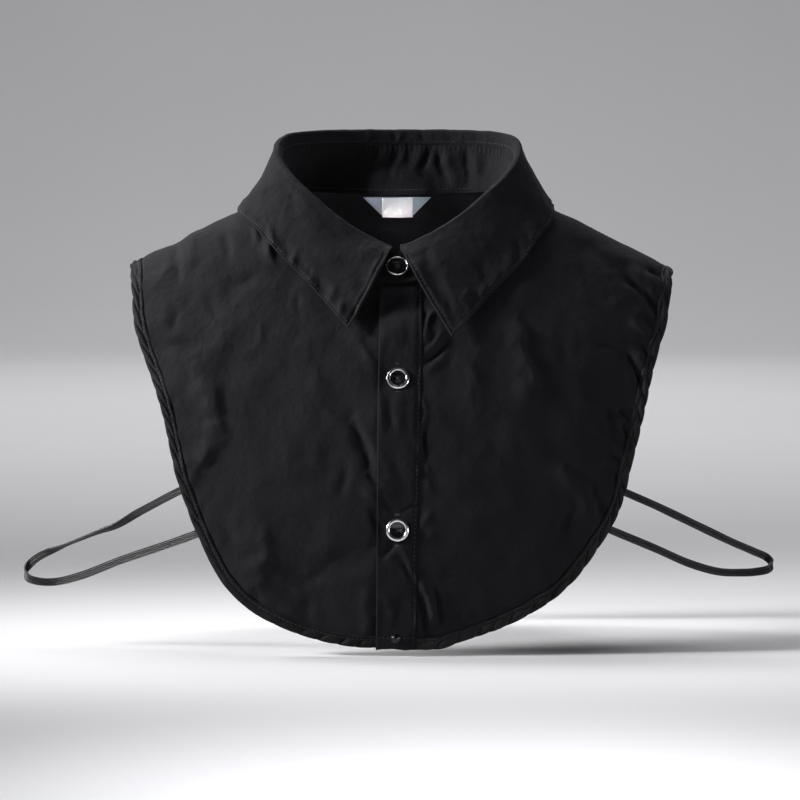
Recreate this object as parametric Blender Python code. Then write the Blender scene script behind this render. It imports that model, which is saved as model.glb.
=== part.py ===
"""Detachable shirt collar: a turned-down collar on a stand, with a bound bib
front and back, a front band that buttons, and two elastic side loops.

Lengths below are millimetres and are turned into metres when a mesh is made.
+Z is up, the front faces -Y, +X is the wearer's left.  The origin is the
middle of the neck opening, at the height where the neck seam crosses between
its low front and its high back.
"""
import math
from collections import namedtuple

import bmesh
import bpy
from mathutils import Vector

MM = 0.001

# ---------------------------------------------------------------- cloth sizes
WALL = 1.2            # one panel of shirt cloth with its turnings
SEAM = 0.3            # clearance left between two pieces
STAND_WALL = 1.5      # collar stand, interlined
LEAF_WALL = 1.2       # collar leaf
BIND_WIDTH = 6.8      # bias binding, seen width
TAPE_WIDTH = 4.8      # elastic tape
TAPE_WALL = 1.1
LABEL_WALL = 1.0

# ---------------------------------------------------------------- neck sizes
NECK_HALF = 69.0      # half width of the neck seam
FOLD_HALF = 73.0      # half width of the collar's fold line, inner side
FOLD_FRONT = 41.5     # fold line ahead of the origin
FOLD_BACK = 40.0      # fold line behind the origin
ROLL = 1.8            # radius of the collar's turn at the fold
OVERLAP = 11.5        # degrees that the stand's ends pass the front centre
LAP = 1.85            # how far the upper stand end lies in front of the lower
LEAF_LIFT = 2.9       # middle of the leaf above the cloth form at its edge

# ---------------------------------------------------------------- bib sizes
SHOULDER_TURN = 100.0  # degrees round the body where front meets back
HEM_Z = -243.0         # bottom of the front band
BACK_HEM_Z = -200.0    # bottom of the back bib
BAND_TOP_Z = -28.5     # top of the front band, below the stand
UNDER_EDGE = 8.0       # edge of the right front, under the band
OVER_EDGE = 8.6        # edge of the left front, under the band

BIND_END = 0.0006      # share of its length left off at the shoulder

BUTTON_R = 7.1
NECK_BUTTON_R = 6.5
BUTTON_EYE_R = 4.6
BUTTON_THICK = 2.4
SNAP_R = 2.8


def table(columns, *rows):
    """A short table: one tuple for each row, with its columns named."""
    row = namedtuple("row", columns)
    return [row(*r) for r in rows]


# The general figure under the cloth, as level sections: half width, and depth
# ahead of and behind the side line.
FORM = table(
    "z half front back",
    (44.0, 44.0, 16.0, 30.0),
    (30.0, 69.0, 26.0, 41.0),
    (18.0, 94.5, 33.0, 49.5),
    (6.0, 120.5, 39.5, 56.5),
    (-6.0, 145.0, 45.5, 63.0),
    (-18.0, 168.0, 50.5, 69.0),
    (-30.0, 186.0, 56.5, 74.0),
    (-60.0, 208.0, 73.0, 84.0),
    (-100.0, 220.0, 90.0, 93.0),
    (-150.0, 226.0, 103.0, 98.0),
    (-200.0, 229.0, 108.0, 98.5),
    (-262.0, 230.0, 110.0, 97.0))

# Height of the neck seam, by the angle from the front centre.
NECK = table(
    "turn z",
    (0, -26.0), (9, -24.2), (18, -19.0), (30, -10.5), (45, 1.0), (60, 12.0),
    (75, 22.0), (90, 30.0), (110, 30.6), (140, 29.0), (180, 28.0))

# Height of the collar's fold, its top line, and how far below it the leaf is
# joined to the stand on the inner side.
FOLD = table(
    "turn z turn_in",
    (0, -4.0, 3.8), (15, 3.6, 4.3), (30, 15.3, 5.0), (45, 28.6, 5.8),
    (60, 39.8, 6.6), (75, 50.0, 7.4), (90, 58.6, 8.2), (105, 64.0, 8.8),
    (120, 66.6, 9.0), (150, 68.2, 9.0), (180, 68.4, 9.0))

# Lower edge of the collar leaf: where the line that leaves the fold at `turn`
# ends, as distance from the middle and height.  Past 90 it is on the back.
LEAF_LEFT = table(
    "turn x z",
    (1.0, 32.2, -56.4), (24.0, 46.0, -42.4), (45.0, 60.5, -28.0),
    (62.0, 76.0, -12.5), (76.0, 87.0, 2.6), (90.0, 94.5, 17.4),
    (110.0, 84.0, 19.0), (135.0, 62.0, 18.0), (160.0, 31.0, 17.5),
    (180.0, 0.0, 17.5))
LEAF_RIGHT = table(
    "turn x z",
    (2.8, 29.5, -51.6), (25.0, 43.5, -36.6), (45.0, 57.5, -22.0),
    (62.0, 73.5, -7.0), (76.0, 87.0, 6.5), (90.0, 97.5, 18.0),
    (110.0, 84.0, 19.5), (135.0, 62.0, 18.0), (160.0, 31.0, 17.5),
    (180.0, 0.0, 17.5))

# Outer edge of the bound bib, from the hem to the shoulder.
EDGE_LEFT = table(
    "x z",
    (11.6, HEM_Z), (25.5, -242.6), (36.6, -238.8), (67.3, -228.0), (98.0, -209.8),
    (119.8, -184.4), (133.9, -160.0), (142.0, -129.6), (154.7, -80.6),
    (164.6, -34.0))
EDGE_RIGHT = table(
    "x z",
    (13.6, -241.9), (27.5, -241.2), (55.1, -235.4), (85.8, -222.0),
    (104.3, -205.0), (117.9, -181.0), (131.2, -148.0), (147.6, -87.2),
    (160.6, -32.0))
EDGE_BACK = table(
    "x z",
    (0.0, BACK_HEM_Z), (35.0, -196.5), (70.0, -184.5), (98.0, -163.0),
    (119.0, -132.0), (135.0, -95.0), (149.0, -58.0), (159.0, -34.0))
SHOULDER_LEFT_Z = -19.0    # bib edge on top of the shoulder
SHOULDER_RIGHT_Z = -15.5

# Front band: its free edge and its sewn edge.
BAND = table(
    "z free sewn",
    (-28.0, -11.0, 14.6), (-60.0, -11.5, 14.3), (-100.0, -12.2, 13.5),
    (-142.0, -12.5, 12.6), (-186.0, -12.7, 11.4), (-243.0, -13.2, 10.8))

# The largest folds: a ridge (rise above 0) or trough between two ends.
FOLDS = table(
    "side x0 z0 x1 z1 half_width rise",
    ("front", 66.0, -36.0, 86.0, -112.0, 9.0, -2.4),
    ("front", 152.0, -36.0, 124.0, -44.0, 5.0, -1.6),
    ("front", 143.0, -64.0, 112.0, -72.0, 5.5, -1.7),
    ("front", 128.0, -106.0, 98.0, -116.0, 6.0, -1.6),
    ("front", 21.5, -40.0, 25.0, -72.0, 4.5, 1.8),
    ("front", 17.0, -200.0, 19.0, -234.0, 4.5, 1.9),
    ("front", -116.0, -68.0, -98.0, -128.0, 10.0, -2.2),
    ("front", -74.0, -10.0, -66.0, -52.0, 5.5, 1.8),
    ("front", -31.0, -112.0, -21.0, -152.0, 5.0, -1.6),
    ("front", -33.0, -58.0, -22.0, -78.0, 4.5, -1.4),
    ("back", 40.0, 6.0, 62.0, -78.0, 10.0, -2.0),
    ("back", -36.0, 4.0, -66.0, -90.0, 11.0, -2.2),
    ("back", 8.0, -70.0, -2.0, -160.0, 12.0, -1.8))

# Elastic loops, from the upper end to the lower end under the bib's edge: the
# tape's middle line, and the direction across the tape.
LOOP_RIGHT = table(
    "x y z across_y across_z",
    (-120.0, -84.6, -144.6, 0.1, -1.0), (-131.6, -79.6, -149.9, 0.1, -1.0),
    (-157.5, -72.0, -163.9, 0.2, -1.0), (-170.5, -68.0, -171.6, 0.6, -0.8),
    (-181.7, -63.5, -176.0, 0.9, -0.45), (-205.0, -53.0, -186.0, 0.95, -0.3),
    (-217.5, -46.5, -191.5, 0.75, -0.65), (-227.2, -42.5, -199.8, 1.0, -0.2),
    (-222.0, -44.0, -206.6, 0.5, -0.85), (-209.0, -48.5, -207.2, 0.15, -1.0),
    (-193.0, -55.0, -203.2, 0.0, -1.0), (-168.2, -65.0, -193.2, 0.0, -1.0),
    (-144.0, -75.5, -184.3, 0.0, -1.0), (-122.0, -86.2, -175.8, 0.0, -1.0),
    (-110.0, -90.3, -170.9, 0.0, -1.0))
LOOP_LEFT = table(
    "x y z across_y across_z",
    (126.0, -82.2, -145.8, 0.0, -1.0), (137.7, -76.6, -151.2, 0.0, -1.0),
    (156.0, -73.0, -159.4, 0.0, -1.0), (180.0, -66.0, -171.2, 0.0, -1.0),
    (203.0, -58.0, -182.6, 0.15, -1.0), (219.0, -50.0, -189.6, 0.45, -0.9),
    (228.4, -45.4, -195.6, 1.0, -0.2), (222.0, -46.0, -199.8, 0.5, -0.85),
    (210.0, -50.5, -201.6, 0.15, -1.0), (196.0, -56.0, -201.0, 0.0, -1.0),
    (178.0, -64.0, -195.6, 0.0, -1.0), (155.0, -73.5, -185.0, 0.0, -1.0),
    (129.0, -83.0, -173.6, 0.0, -1.0), (117.0, -87.6, -168.2, 0.0, -1.0))

BUTTONS = table("name x z", ("button_middle", 0.0, -82.3),
                ("button_lower", -0.3, -171.8))
SNAP_AT = (-1.5, -236.4)

# Number of steps in each mesh.
PANEL_STEPS = (22, 14)
BACK_STEPS = (24, 10)
COLLAR_STEPS = 54     # all round, shared by the stand and the leaf
BAND_STEPS = 18
LOOP_STEPS = 30
BUTTON_STEPS = 18


# ------------------------------------------------------------------ curves
class Line:
    """A smooth line through table rows that never swings past them."""

    def __init__(self, xs, ys, level_start=False):
        self.x, self.y = list(map(float, xs)), list(map(float, ys))
        n = len(self.x)
        h = [self.x[i + 1] - self.x[i] for i in range(n - 1)]
        d = [(self.y[i + 1] - self.y[i]) / h[i] for i in range(n - 1)]
        m = [0.0 if level_start else d[0]] + [0.0] * (n - 2) + [d[-1]]
        for i in range(1, n - 1):
            if d[i - 1] * d[i] > 0:
                a, b = 2 * h[i] + h[i - 1], h[i] + 2 * h[i - 1]
                m[i] = (a + b) / (a / d[i - 1] + b / d[i])
        self.m = m

    def __call__(self, x):
        xs = self.x
        x = min(max(x, xs[0]), xs[-1])
        i = 0
        while i < len(xs) - 2 and x > xs[i + 1]:
            i += 1
        h = xs[i + 1] - xs[i]
        t = (x - xs[i]) / h
        a, b = self.y[i], self.y[i + 1]
        return (a * (1 + 2 * t) * (1 - t) ** 2 + h * self.m[i] * t * (1 - t) ** 2
                + b * t * t * (3 - 2 * t) + h * self.m[i + 1] * t * t * (t - 1))


class Route:
    """A smooth path through points of any length, by its length fraction."""

    def __init__(self, points, samples=240):
        knots = [Vector(p) for p in points]
        run = [0.0]
        for a, b in zip(knots, knots[1:]):
            run.append(run[-1] + math.sqrt((b - a).length))
        fine = []
        for k in range(samples + 1):
            t = run[-1] * k / samples
            i = 0
            while i < len(knots) - 2 and t > run[i + 1]:
                i += 1
            fine.append(self.at_knots(knots, run, i, t))
        self.points = fine
        self.run = [0.0]
        for a, b in zip(fine, fine[1:]):
            self.run.append(self.run[-1] + (b - a).length)

    @staticmethod
    def at_knots(knots, run, i, t):
        def tangent(j):
            if j == 0:
                return (knots[1] - knots[0]) / (run[1] - run[0])
            if j == len(knots) - 1:
                return (knots[-1] - knots[-2]) / (run[-1] - run[-2])
            h0, h1 = run[j] - run[j - 1], run[j + 1] - run[j]
            d0 = (knots[j] - knots[j - 1]) / h0
            d1 = (knots[j + 1] - knots[j]) / h1
            return (d0 * h1 + d1 * h0) / (h0 + h1)
        h = run[i + 1] - run[i]
        u = (t - run[i]) / h
        return (knots[i] * ((1 + 2 * u) * (1 - u) ** 2)
                + tangent(i) * (h * u * (1 - u) ** 2)
                + knots[i + 1] * (u * u * (3 - 2 * u))
                + tangent(i + 1) * (h * u * u * (u - 1)))

    def __call__(self, s):
        want = min(max(s, 0.0), 1.0) * self.run[-1]
        i = 0
        while i < len(self.run) - 2 and want > self.run[i + 1]:
            i += 1
        span = self.run[i + 1] - self.run[i]
        t = (want - self.run[i]) / span if span else 0.0
        return self.points[i].lerp(self.points[i + 1], t)


def between(values, k):
    """The value at a fractional place in a list."""
    i = min(max(int(k), 0), len(values) - 2)
    return values[i] + (values[i + 1] - values[i]) * (k - i)


def between_places(places, k):
    return (between([p[0] for p in places], k), between([p[1] for p in places], k))


def ease(t):
    t = min(max(t, 0.0), 1.0)
    return t * t * (3 - 2 * t)


# ------------------------------------------------------------------ the form
_rows = sorted(FORM, key=lambda r: r.z)
half_at = Line([r.z for r in _rows], [r.half for r in _rows])
front_at = Line([r.z for r in _rows], [r.front for r in _rows])
back_at = Line([r.z for r in _rows], [r.back for r in _rows])


def form(turn, z):
    """Point of the form, by degrees round the body and height."""
    a = math.radians(turn)
    depth = front_at(z) if math.cos(a) > 0 else back_at(z)
    return Vector((half_at(z) * math.sin(a), -depth * math.cos(a), z))


def form_normal(turn, z):
    e = 0.05
    along = form(turn + e, z) - form(turn - e, z)
    up = form(turn, z + e) - form(turn, z - e)
    return along.cross(up).normalized()


def turn_of(x, z, back=False):
    a = math.degrees(math.asin(min(max(x / half_at(z), -1.0), 1.0)))
    return 180.0 - a if back else a


def relief(point):
    """Height of the large folds at a point of the form."""
    side = "front" if point.y < 0 else "back"
    total = 0.0
    for f in FOLDS:
        if f.side != side:
            continue
        ax, az, bx, bz = f.x0, f.z0, f.x1, f.z1
        lx, lz = bx - ax, bz - az
        size = math.hypot(lx, lz)
        s = ((point.x - ax) * lx + (point.z - az) * lz) / (size * size)
        off = ((point.x - ax) * lz - (point.z - az) * lx) / size
        if s < -0.2 or s > 1.2:
            continue
        ends = ease((s + 0.2) / 0.45) * ease((1.2 - s) / 0.45)
        total += f.rise * ends * math.exp(-(off / f.half_width) ** 2)
    return total


def cloth(turn, z, lift):
    """Point of the bib's cloth, `lift` above the inner face of its wall."""
    p = form(turn, z)
    return p + form_normal(turn, z) * (lift + relief(p))


def height_above(p):
    """Distance from the form, and the direction away from it."""
    def level(q):
        depth = front_at(q.z) if q.y < 0 else back_at(q.z)
        return math.hypot(q.x / half_at(q.z), q.y / depth)
    e = 0.05
    slope = Vector([(level(p + d) - level(p - d)) / (2 * e)
                    for d in (Vector((e, 0, 0)), Vector((0, e, 0)), Vector((0, 0, e)))])
    return (level(p) - 1.0) / slope.length, slope.normalized()


# ------------------------------------------------------------------ the neck
neck_z = Line([r.turn for r in NECK], [r.z for r in NECK], level_start=True)
fold_z = Line([r.turn for r in FOLD], [r.z for r in FOLD], level_start=True)
fold_in = Line([r.turn for r in FOLD], [r.turn_in for r in FOLD])


def fold_angle(turn):
    """The same angle counted from the front centre, 0 to 180."""
    turn = (turn + 180.0) % 360.0 - 180.0
    return abs(turn)


def neck_place(turn):
    """Degrees round the body, and height, of the neck seam at `turn`."""
    t = fold_angle(turn)
    z = neck_z(t)
    place = turn_of(NECK_HALF * math.sin(math.radians(t)), z, back=t > 90.0)
    side = -1.0 if (turn + 180.0) % 360.0 - 180.0 < 0 else 1.0
    return side * place, z


def neck_point(turn):
    place, z = neck_place(turn)
    return form(place, z) + form_normal(place, z) * (WALL / 2)


def fold_point(turn):
    a = math.radians(turn)
    depth = FOLD_FRONT if math.cos(a) > 0 else FOLD_BACK
    z = fold_z(fold_angle(turn)) - ROLL - LEAF_WALL / 2
    return Vector((FOLD_HALF * math.sin(a), -depth * math.cos(a), z))


def lap(turn):
    """The wearer's left end of the stand lies in front of the right end."""
    if turn > 200.0:
        return 0.0
    return LAP * (1.0 - ease((turn - 16.0) / 26.0))


def stand_frame(turn):
    """Foot and fold of the stand, the way up it, and the way out of it."""
    foot, top = neck_point(turn), fold_point(turn)
    a = math.radians(turn)
    depth = FOLD_FRONT if math.cos(a) > 0 else FOLD_BACK
    ahead = Vector((FOLD_HALF * math.cos(a), depth * math.sin(a), 0.0))
    up = (top - foot).normalized()
    out = ahead.cross(up).normalized()
    return foot, top, up, out


def stand_places():
    """Points all over the middle of the stand, each with its way out."""
    places = []
    for k in range(-12, 360, 2):
        foot, top, up, out = stand_frame(float(k))
        size = (top - foot).length
        for j in range(6):
            places.append((foot + out * lap(float(k)) + up * (size * j / 5), out))
    return places


# ------------------------------------------------------------------ meshes
def material(name, colour, roughness, metallic=0.0):
    m = bpy.data.materials.new(name)
    m.use_nodes = True
    m.diffuse_color = (*colour, 1.0)
    shader = m.node_tree.nodes["Principled BSDF"]
    shader.inputs["Base Color"].default_value = (*colour, 1.0)
    shader.inputs["Roughness"].default_value = roughness
    shader.inputs["Metallic"].default_value = metallic
    return m


def solid(name, points, faces, mat):
    mesh = bpy.data.meshes.new(name)
    mesh.from_pydata([tuple(p * MM) for p in points], [], faces)
    bm = bmesh.new()
    bm.from_mesh(mesh)
    bmesh.ops.recalc_face_normals(bm, faces=bm.faces)
    bm.to_mesh(mesh)
    bm.free()
    mesh.materials.append(mat)
    mesh.shade_smooth()
    mesh.set_sharp_from_angle(angle=math.radians(40))
    obj = bpy.data.objects.new(name, mesh)
    bpy.context.scene.collection.objects.link(obj)
    obj.parent = ROOT
    return obj


def slab(name, inner, outer, mat):
    """A wall of cloth between two grids of points, closed at its edges."""
    nu, nv = len(inner), len(inner[0])
    points = [p for column in inner for p in column]
    points += [p for column in outer for p in column]
    base = nu * nv

    def at(i, j, k):
        return k * base + i * nv + j

    faces = []
    for i in range(nu - 1):
        for j in range(nv - 1):
            faces.append((at(i, j, 1), at(i + 1, j, 1), at(i + 1, j + 1, 1), at(i, j + 1, 1)))
            faces.append((at(i, j, 0), at(i, j + 1, 0), at(i + 1, j + 1, 0), at(i + 1, j, 0)))
    for i in range(nu - 1):
        faces.append((at(i, 0, 0), at(i + 1, 0, 0), at(i + 1, 0, 1), at(i, 0, 1)))
        faces.append((at(i, nv - 1, 1), at(i + 1, nv - 1, 1), at(i + 1, nv - 1, 0), at(i, nv - 1, 0)))
    for j in range(nv - 1):
        faces.append((at(0, j, 1), at(0, j + 1, 1), at(0, j + 1, 0), at(0, j, 0)))
        faces.append((at(nu - 1, j, 0), at(nu - 1, j + 1, 0), at(nu - 1, j + 1, 1), at(nu - 1, j, 1)))
    return solid(name, points, faces, mat)


def bar(name, sections, mat):
    """A closed bar through equal loops of points."""
    n = len(sections[0])
    points = [p for s in sections for p in s]
    faces = []
    for k in range(len(sections) - 1):
        for i in range(n):
            j = (i + 1) % n
            faces.append((k * n + i, k * n + j, (k + 1) * n + j, (k + 1) * n + i))
    last = (len(sections) - 1) * n
    faces.append(tuple(reversed(range(n))))
    faces.append(tuple(last + i for i in range(n)))
    return solid(name, points, faces, mat)


def turned(name, profile, centre, axis, mat, steps=BUTTON_STEPS, ring=False):
    """A piece turned about `axis`; profile rows are radius and height."""
    side = axis.cross(Vector((1, 0, 0))).normalized()
    other = axis.cross(side).normalized()
    points, faces = [], []
    n = len(profile)
    for k in range(steps):
        a = 2 * math.pi * k / steps
        spoke = side * math.cos(a) + other * math.sin(a)
        points += [centre + spoke * r + axis * h for r, h in profile]
    for k in range(steps):
        m = (k + 1) % steps
        for i in range(n if ring else n - 1):
            j = (i + 1) % n
            faces.append((k * n + i, k * n + j, m * n + j, m * n + i))
    if not ring:
        faces.append(tuple(k * n for k in range(steps)))
        faces.append(tuple(k * n + n - 1 for k in reversed(range(steps))))
    return solid(name, points, faces, mat)


# ------------------------------------------------------------------ the bib
def edge_path(rows, sign, shoulder_z, back=False):
    """The bib's outer edge as places (turn, height) in order along it."""
    places = [(turn_of(r.x, r.z, back), r.z) for r in rows]
    if back:
        places = places + [(SHOULDER_TURN + 14.0, shoulder_z - 7.4)]
        places = places + [(SHOULDER_TURN, shoulder_z - 1.6)]
    else:
        places = places + [(76.0, shoulder_z - 4.6), (90.0, shoulder_z)]
        places = places + [(SHOULDER_TURN, shoulder_z - 1.6)]
    places = [(sign * t, z) for t, z in places]
    # the path runs through the points' true positions; each sample is then
    # read back as a place on the form
    path = Route([(t * 1.6, z, 0.0) for t, z in places])
    return lambda s: ((path(s).x / 1.6), path(s).y)


def even(path, count, start=0.0, stop=1.0):
    """Fractions that cut a path of places into equal lengths on the form."""
    fine = [start + (stop - start) * k / 400 for k in range(401)]
    pts = [form(*path(s)) for s in fine]
    run = [0.0]
    for a, b in zip(pts, pts[1:]):
        run.append(run[-1] + (b - a).length)
    out, i = [], 0
    for k in range(count + 1):
        want = run[-1] * k / count
        while i < 399 and run[i + 1] < want:
            i += 1
        t = (want - run[i]) / (run[i + 1] - run[i])
        out.append(fine[i] + (fine[i + 1] - fine[i]) * min(max(t, 0.0), 1.0))
    return out


def edge_frame(path, s, sign):
    """On the form: the edge point, along it, out of the cloth, and inward."""
    t, z = path(s)
    e = 0.004
    a, b = path(max(s - e, 0.0)), path(min(s + e, 1.0))
    along = (form(*b) - form(*a)).normalized()
    out = form_normal(t, z)
    inward = out.cross(along).normalized() * sign
    return form(t, z), along, out, inward


def inset_place(path, s, sign, width):
    """The place `width` in from the bib's outer edge."""
    t, z = path(s)
    _, _, _, inward = edge_frame(path, s, sign)
    e = 0.05
    by_turn = (form(t + e, z) - form(t - e, z)) / (2 * e)
    by_z = (form(t, z + e) - form(t, z - e)) / (2 * e)
    aa, bb, ab = by_turn.dot(by_turn), by_z.dot(by_z), by_turn.dot(by_z)
    pa, pb = by_turn.dot(inward) * width, by_z.dot(inward) * width
    det = aa * bb - ab * ab
    return t + (pa * bb - pb * ab) / det, z + (pb * aa - pa * ab) / det


def neck_turn_at_shoulder():
    """The neck seam's angle where front meets back."""
    lo, hi = 90.0, 125.0
    for _ in range(40):
        mid = (lo + hi) / 2
        if neck_place(mid)[0] < SHOULDER_TURN:
            lo = mid
        else:
            hi = mid
    return (lo + hi) / 2


def coons(inner, outer, first, last, nu, nv):
    """Places inside four edges, each a function of 0 to 1."""
    grid = []
    for i in range(nu + 1):
        s = i / nu
        column = []
        for j in range(nv + 1):
            r = j / nv
            place = []
            for c in (0, 1):
                ruled = (1 - r) * inner(s)[c] + r * outer(s)[c]
                corner = ((1 - s) * ((1 - r) * inner(0)[c] + r * outer(0)[c])
                          + s * ((1 - r) * inner(1)[c] + r * outer(1)[c]))
                sides = (1 - s) * first(r)[c] + s * last(r)[c]
                place.append(ruled + sides - corner)
            column.append(tuple(place))
        grid.append(column)
    return grid


def front_panel(name, sign, path, middle_x, mat):
    """One front, from the neck seam to the binding."""
    steps = PANEL_STEPS[0]
    end = neck_turn_at_shoulder()
    start = math.degrees(math.asin(middle_x * sign / NECK_HALF))
    seam = even(lambda s: neck_place(sign * (start + (end - start) * s)), steps)
    bound = [inset_place(path, f, sign, BIND_WIDTH + SEAM)
             for f in even(path, steps - 1)]
    corner = (turn_of(middle_x, bound[0][1]), bound[0][1])

    def neck_edge(s):
        f = between(seam, s * steps)
        t, z = neck_place(sign * (start + (end - start) * f))
        return t, z - 1.0

    def outer_edge(s):
        k = s * steps
        return between_places([corner] + bound, k)

    top_z, bottom_z = neck_edge(0)[1], corner[1]

    def middle_edge(r):
        z = top_z + (bottom_z - top_z) * r
        return turn_of(middle_x, z), z

    def shoulder_edge(r):
        return between_places([neck_edge(1), outer_edge(1)], r)

    grid = coons(neck_edge, outer_edge, middle_edge, shoulder_edge, *PANEL_STEPS)
    inner = [[cloth(t, z, 0.0) for t, z in column] for column in grid]
    outer = [[cloth(t, z, WALL) for t, z in column] for column in grid]
    return slab(name, inner, outer, mat)


def back_panel(name, left, right, mat):
    end = neck_turn_at_shoulder()
    half_steps = BACK_STEPS[0] // 2

    def clear_of_front(t, z, sign):
        """Step back round the body by the seam's clearance."""
        round_ = form(t + 0.5, z) - form(t - 0.5, z)
        seam = (form(t, z + 1.0) - form(t, z - 1.0)).normalized()
        per_degree = (round_ - seam * round_.dot(seam)).length
        return t + sign * 1.15 * SEAM / per_degree, z

    def half(sign, path):
        edge = even(path, half_steps)[::-1]

        def neck_edge(s):
            t, z = neck_place(sign * (end + (180.0 - end) * s))
            if s >= 1.0:
                t = sign * 180.0
            return t, z - 1.1

        def outer_edge(s):
            t, z = inset_place(path, between(edge, s * half_steps), -sign,
                               BIND_WIDTH + SEAM)
            return (sign * 180.0, z) if s >= 1.0 else (t, z)

        def first(r):
            a, b = neck_edge(0), outer_edge(0)
            return a[0] + (b[0] - a[0]) * r, a[1] + (b[1] - a[1]) * r

        def last(r):
            a, b = neck_edge(1), outer_edge(1)
            return sign * 180.0, a[1] + (b[1] - a[1]) * r

        grid = coons(neck_edge, outer_edge, first, last, half_steps, BACK_STEPS[1])
        # leave the seam's clearance beside the front
        grid[0] = [clear_of_front(t, z, sign) for t, z in grid[0]]
        return grid

    a, b = half(1, left), half(-1, right)
    grid = a + [[(t + 360.0, z) for t, z in column] for column in b[-2::-1]]
    inner = [[cloth(t, z, 0.0) for t, z in column][::-1] for column in grid]
    outer = [[cloth(t, z, WALL) for t, z in column][::-1] for column in grid]
    return slab(name, inner, outer, mat)


def binding(path, sign, steps):
    """Bias binding folded over the bib's edge, as a bar with soft corners."""
    sections = []
    for s in even(path, steps):
        s = min(s, 1.0 - BIND_END)
        p, along, out, inward = edge_frame(path, s, sign)
        p = p + out * relief(p)
        ring = [(0.0, -0.1), (0.0, 1.3), (1.1, 1.95), (BIND_WIDTH, 1.8),
                (BIND_WIDTH, -0.6), (1.1, -0.75)]
        sections.append([p + inward * b + out * n for b, n in ring])
    return sections


# ------------------------------------------------------------------ collar
ROUND = [360.0 * k / COLLAR_STEPS for k in range(COLLAR_STEPS + 1)]
LEAF_START, LEAF_STOP = LEAF_LEFT[0].turn, 360.0 - LEAF_RIGHT[0].turn


def collar_stand(mat):
    inner, outer = [], []
    turns = sorted(ROUND + [LEAF_START, LEAF_STOP, -OVERLAP, ROUND[-2] - 360.0,
                            LEAF_STOP - 360.0, 360.0 + ROUND[1], 360.0 + OVERLAP])
    for turn in turns:
        foot, top, up, out = stand_frame(turn)
        height = (top - foot).length - fold_in(fold_angle(turn)) + ROLL
        foot = foot + out * lap(turn)
        rows = [foot + up * (0.6 + (height - 0.6) * r) for r in (0.0, 0.5, 1.0)]
        inner.append([p - out * (STAND_WALL / 2) for p in rows])
        outer.append([p + out * (STAND_WALL / 2) for p in rows])
    return slab("collar_stand", inner, outer, mat)


STAND_PLACES = stand_places()


def clear_of_collar(p):
    """Move a leaf point out of the way of the stand and of the bib."""
    near, out = min(STAND_PLACES, key=lambda q: (q[0] - p).length_squared)
    off = (p - near).dot(out)
    least = (STAND_WALL + LEAF_WALL) / 2 + SEAM + 1.1
    if abs(off) < least and (p - near).length < 7.0:
        p = p + out * (least - off)
    high, away = height_above(p)
    least = WALL + SEAM + LEAF_WALL / 2 + 0.85 + max(relief(p), 0.0)
    return p + away * max(least - high, 0.0)


leaf_edge = {}
for _side, _rows_in in ((1, LEAF_LEFT), (-1, LEAF_RIGHT)):
    _places = [(r.turn, turn_of(r.x, r.z, r.turn > 90.0), r.z) for r in _rows_in]
    leaf_edge[_side] = (Line([p[0] for p in _places], [p[1] for p in _places]),
                        Line([p[0] for p in _places], [p[2] for p in _places]))


def leaf_column(turn):
    """Middle line of the leaf from its join, over the fold, to its edge."""
    side = -1 if turn > 180.0 else 1
    t = fold_angle(turn)
    foot, top, up, out = stand_frame(turn)
    top = top + out * lap(turn)
    join = top - up * (fold_in(t) - ROLL - SEAM)
    centre = top + out * ROLL
    rows = [join, top]
    for a in (60.0, 120.0, 180.0):
        r = math.radians(a)
        rows.append(centre - out * (ROLL * math.cos(r)) + up * (ROLL * math.sin(r)))
    by_turn, by_z = leaf_edge[side]
    place, z = side * by_turn(t), by_z(t)
    edge = form(place, z) + form_normal(place, z) * LEAF_LIFT
    start = rows[-1]
    bend = start - up * 4.0 + (edge - start) * 0.08
    for r in (0.18, 0.42, 0.66, 0.85, 1.0):
        p = start * (1 - r) ** 2 + bend * (2 * r * (1 - r)) + edge * (r * r)
        rows.append(clear_of_collar(p))
    return rows


def collar_leaf(mat):
    grid = [leaf_column(turn) for turn in [LEAF_START] + ROUND[1:-1] + [LEAF_STOP]]
    nu, nv = len(grid), len(grid[0])
    low, high = [], []
    for i in range(nu):
        a, b = [], []
        for j in range(nv):
            ahead = grid[min(i + 1, nu - 1)][j] - grid[max(i - 1, 0)][j]
            over = grid[i][min(j + 1, nv - 1)] - grid[i][max(j - 1, 0)]
            n = ahead.cross(over).normalized()
            a.append(grid[i][j] - n * (LEAF_WALL / 2))
            b.append(grid[i][j] + n * (LEAF_WALL / 2))
        low.append(a)
        high.append(b)
    return slab("collar_leaf", low, high, mat)


# ------------------------------------------------------------------ trims
def front_band(mat):
    """The buttoning band: a strip of doubled cloth over the fronts' edges."""
    free = Line([-r.z for r in BAND], [r.free for r in BAND])
    sewn = Line([-r.z for r in BAND], [r.sewn for r in BAND])
    inner, outer = [], []
    for r in (0.0, 0.36, 0.68, 1.0):
        a, b = [], []
        for k in range(BAND_STEPS + 1):
            z = HEM_Z + (BAND_TOP_Z - HEM_Z) * k / BAND_STEPS
            x = free(-z) + (sewn(-z) - free(-z)) * r
            t = turn_of(x, z)
            a.append(cloth(t, z, WALL + SEAM))
            b.append(cloth(t, z, 2 * WALL + SEAM))
        inner.append(a)
        outer.append(b)
    return slab("front_band", inner, outer, mat)


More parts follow.
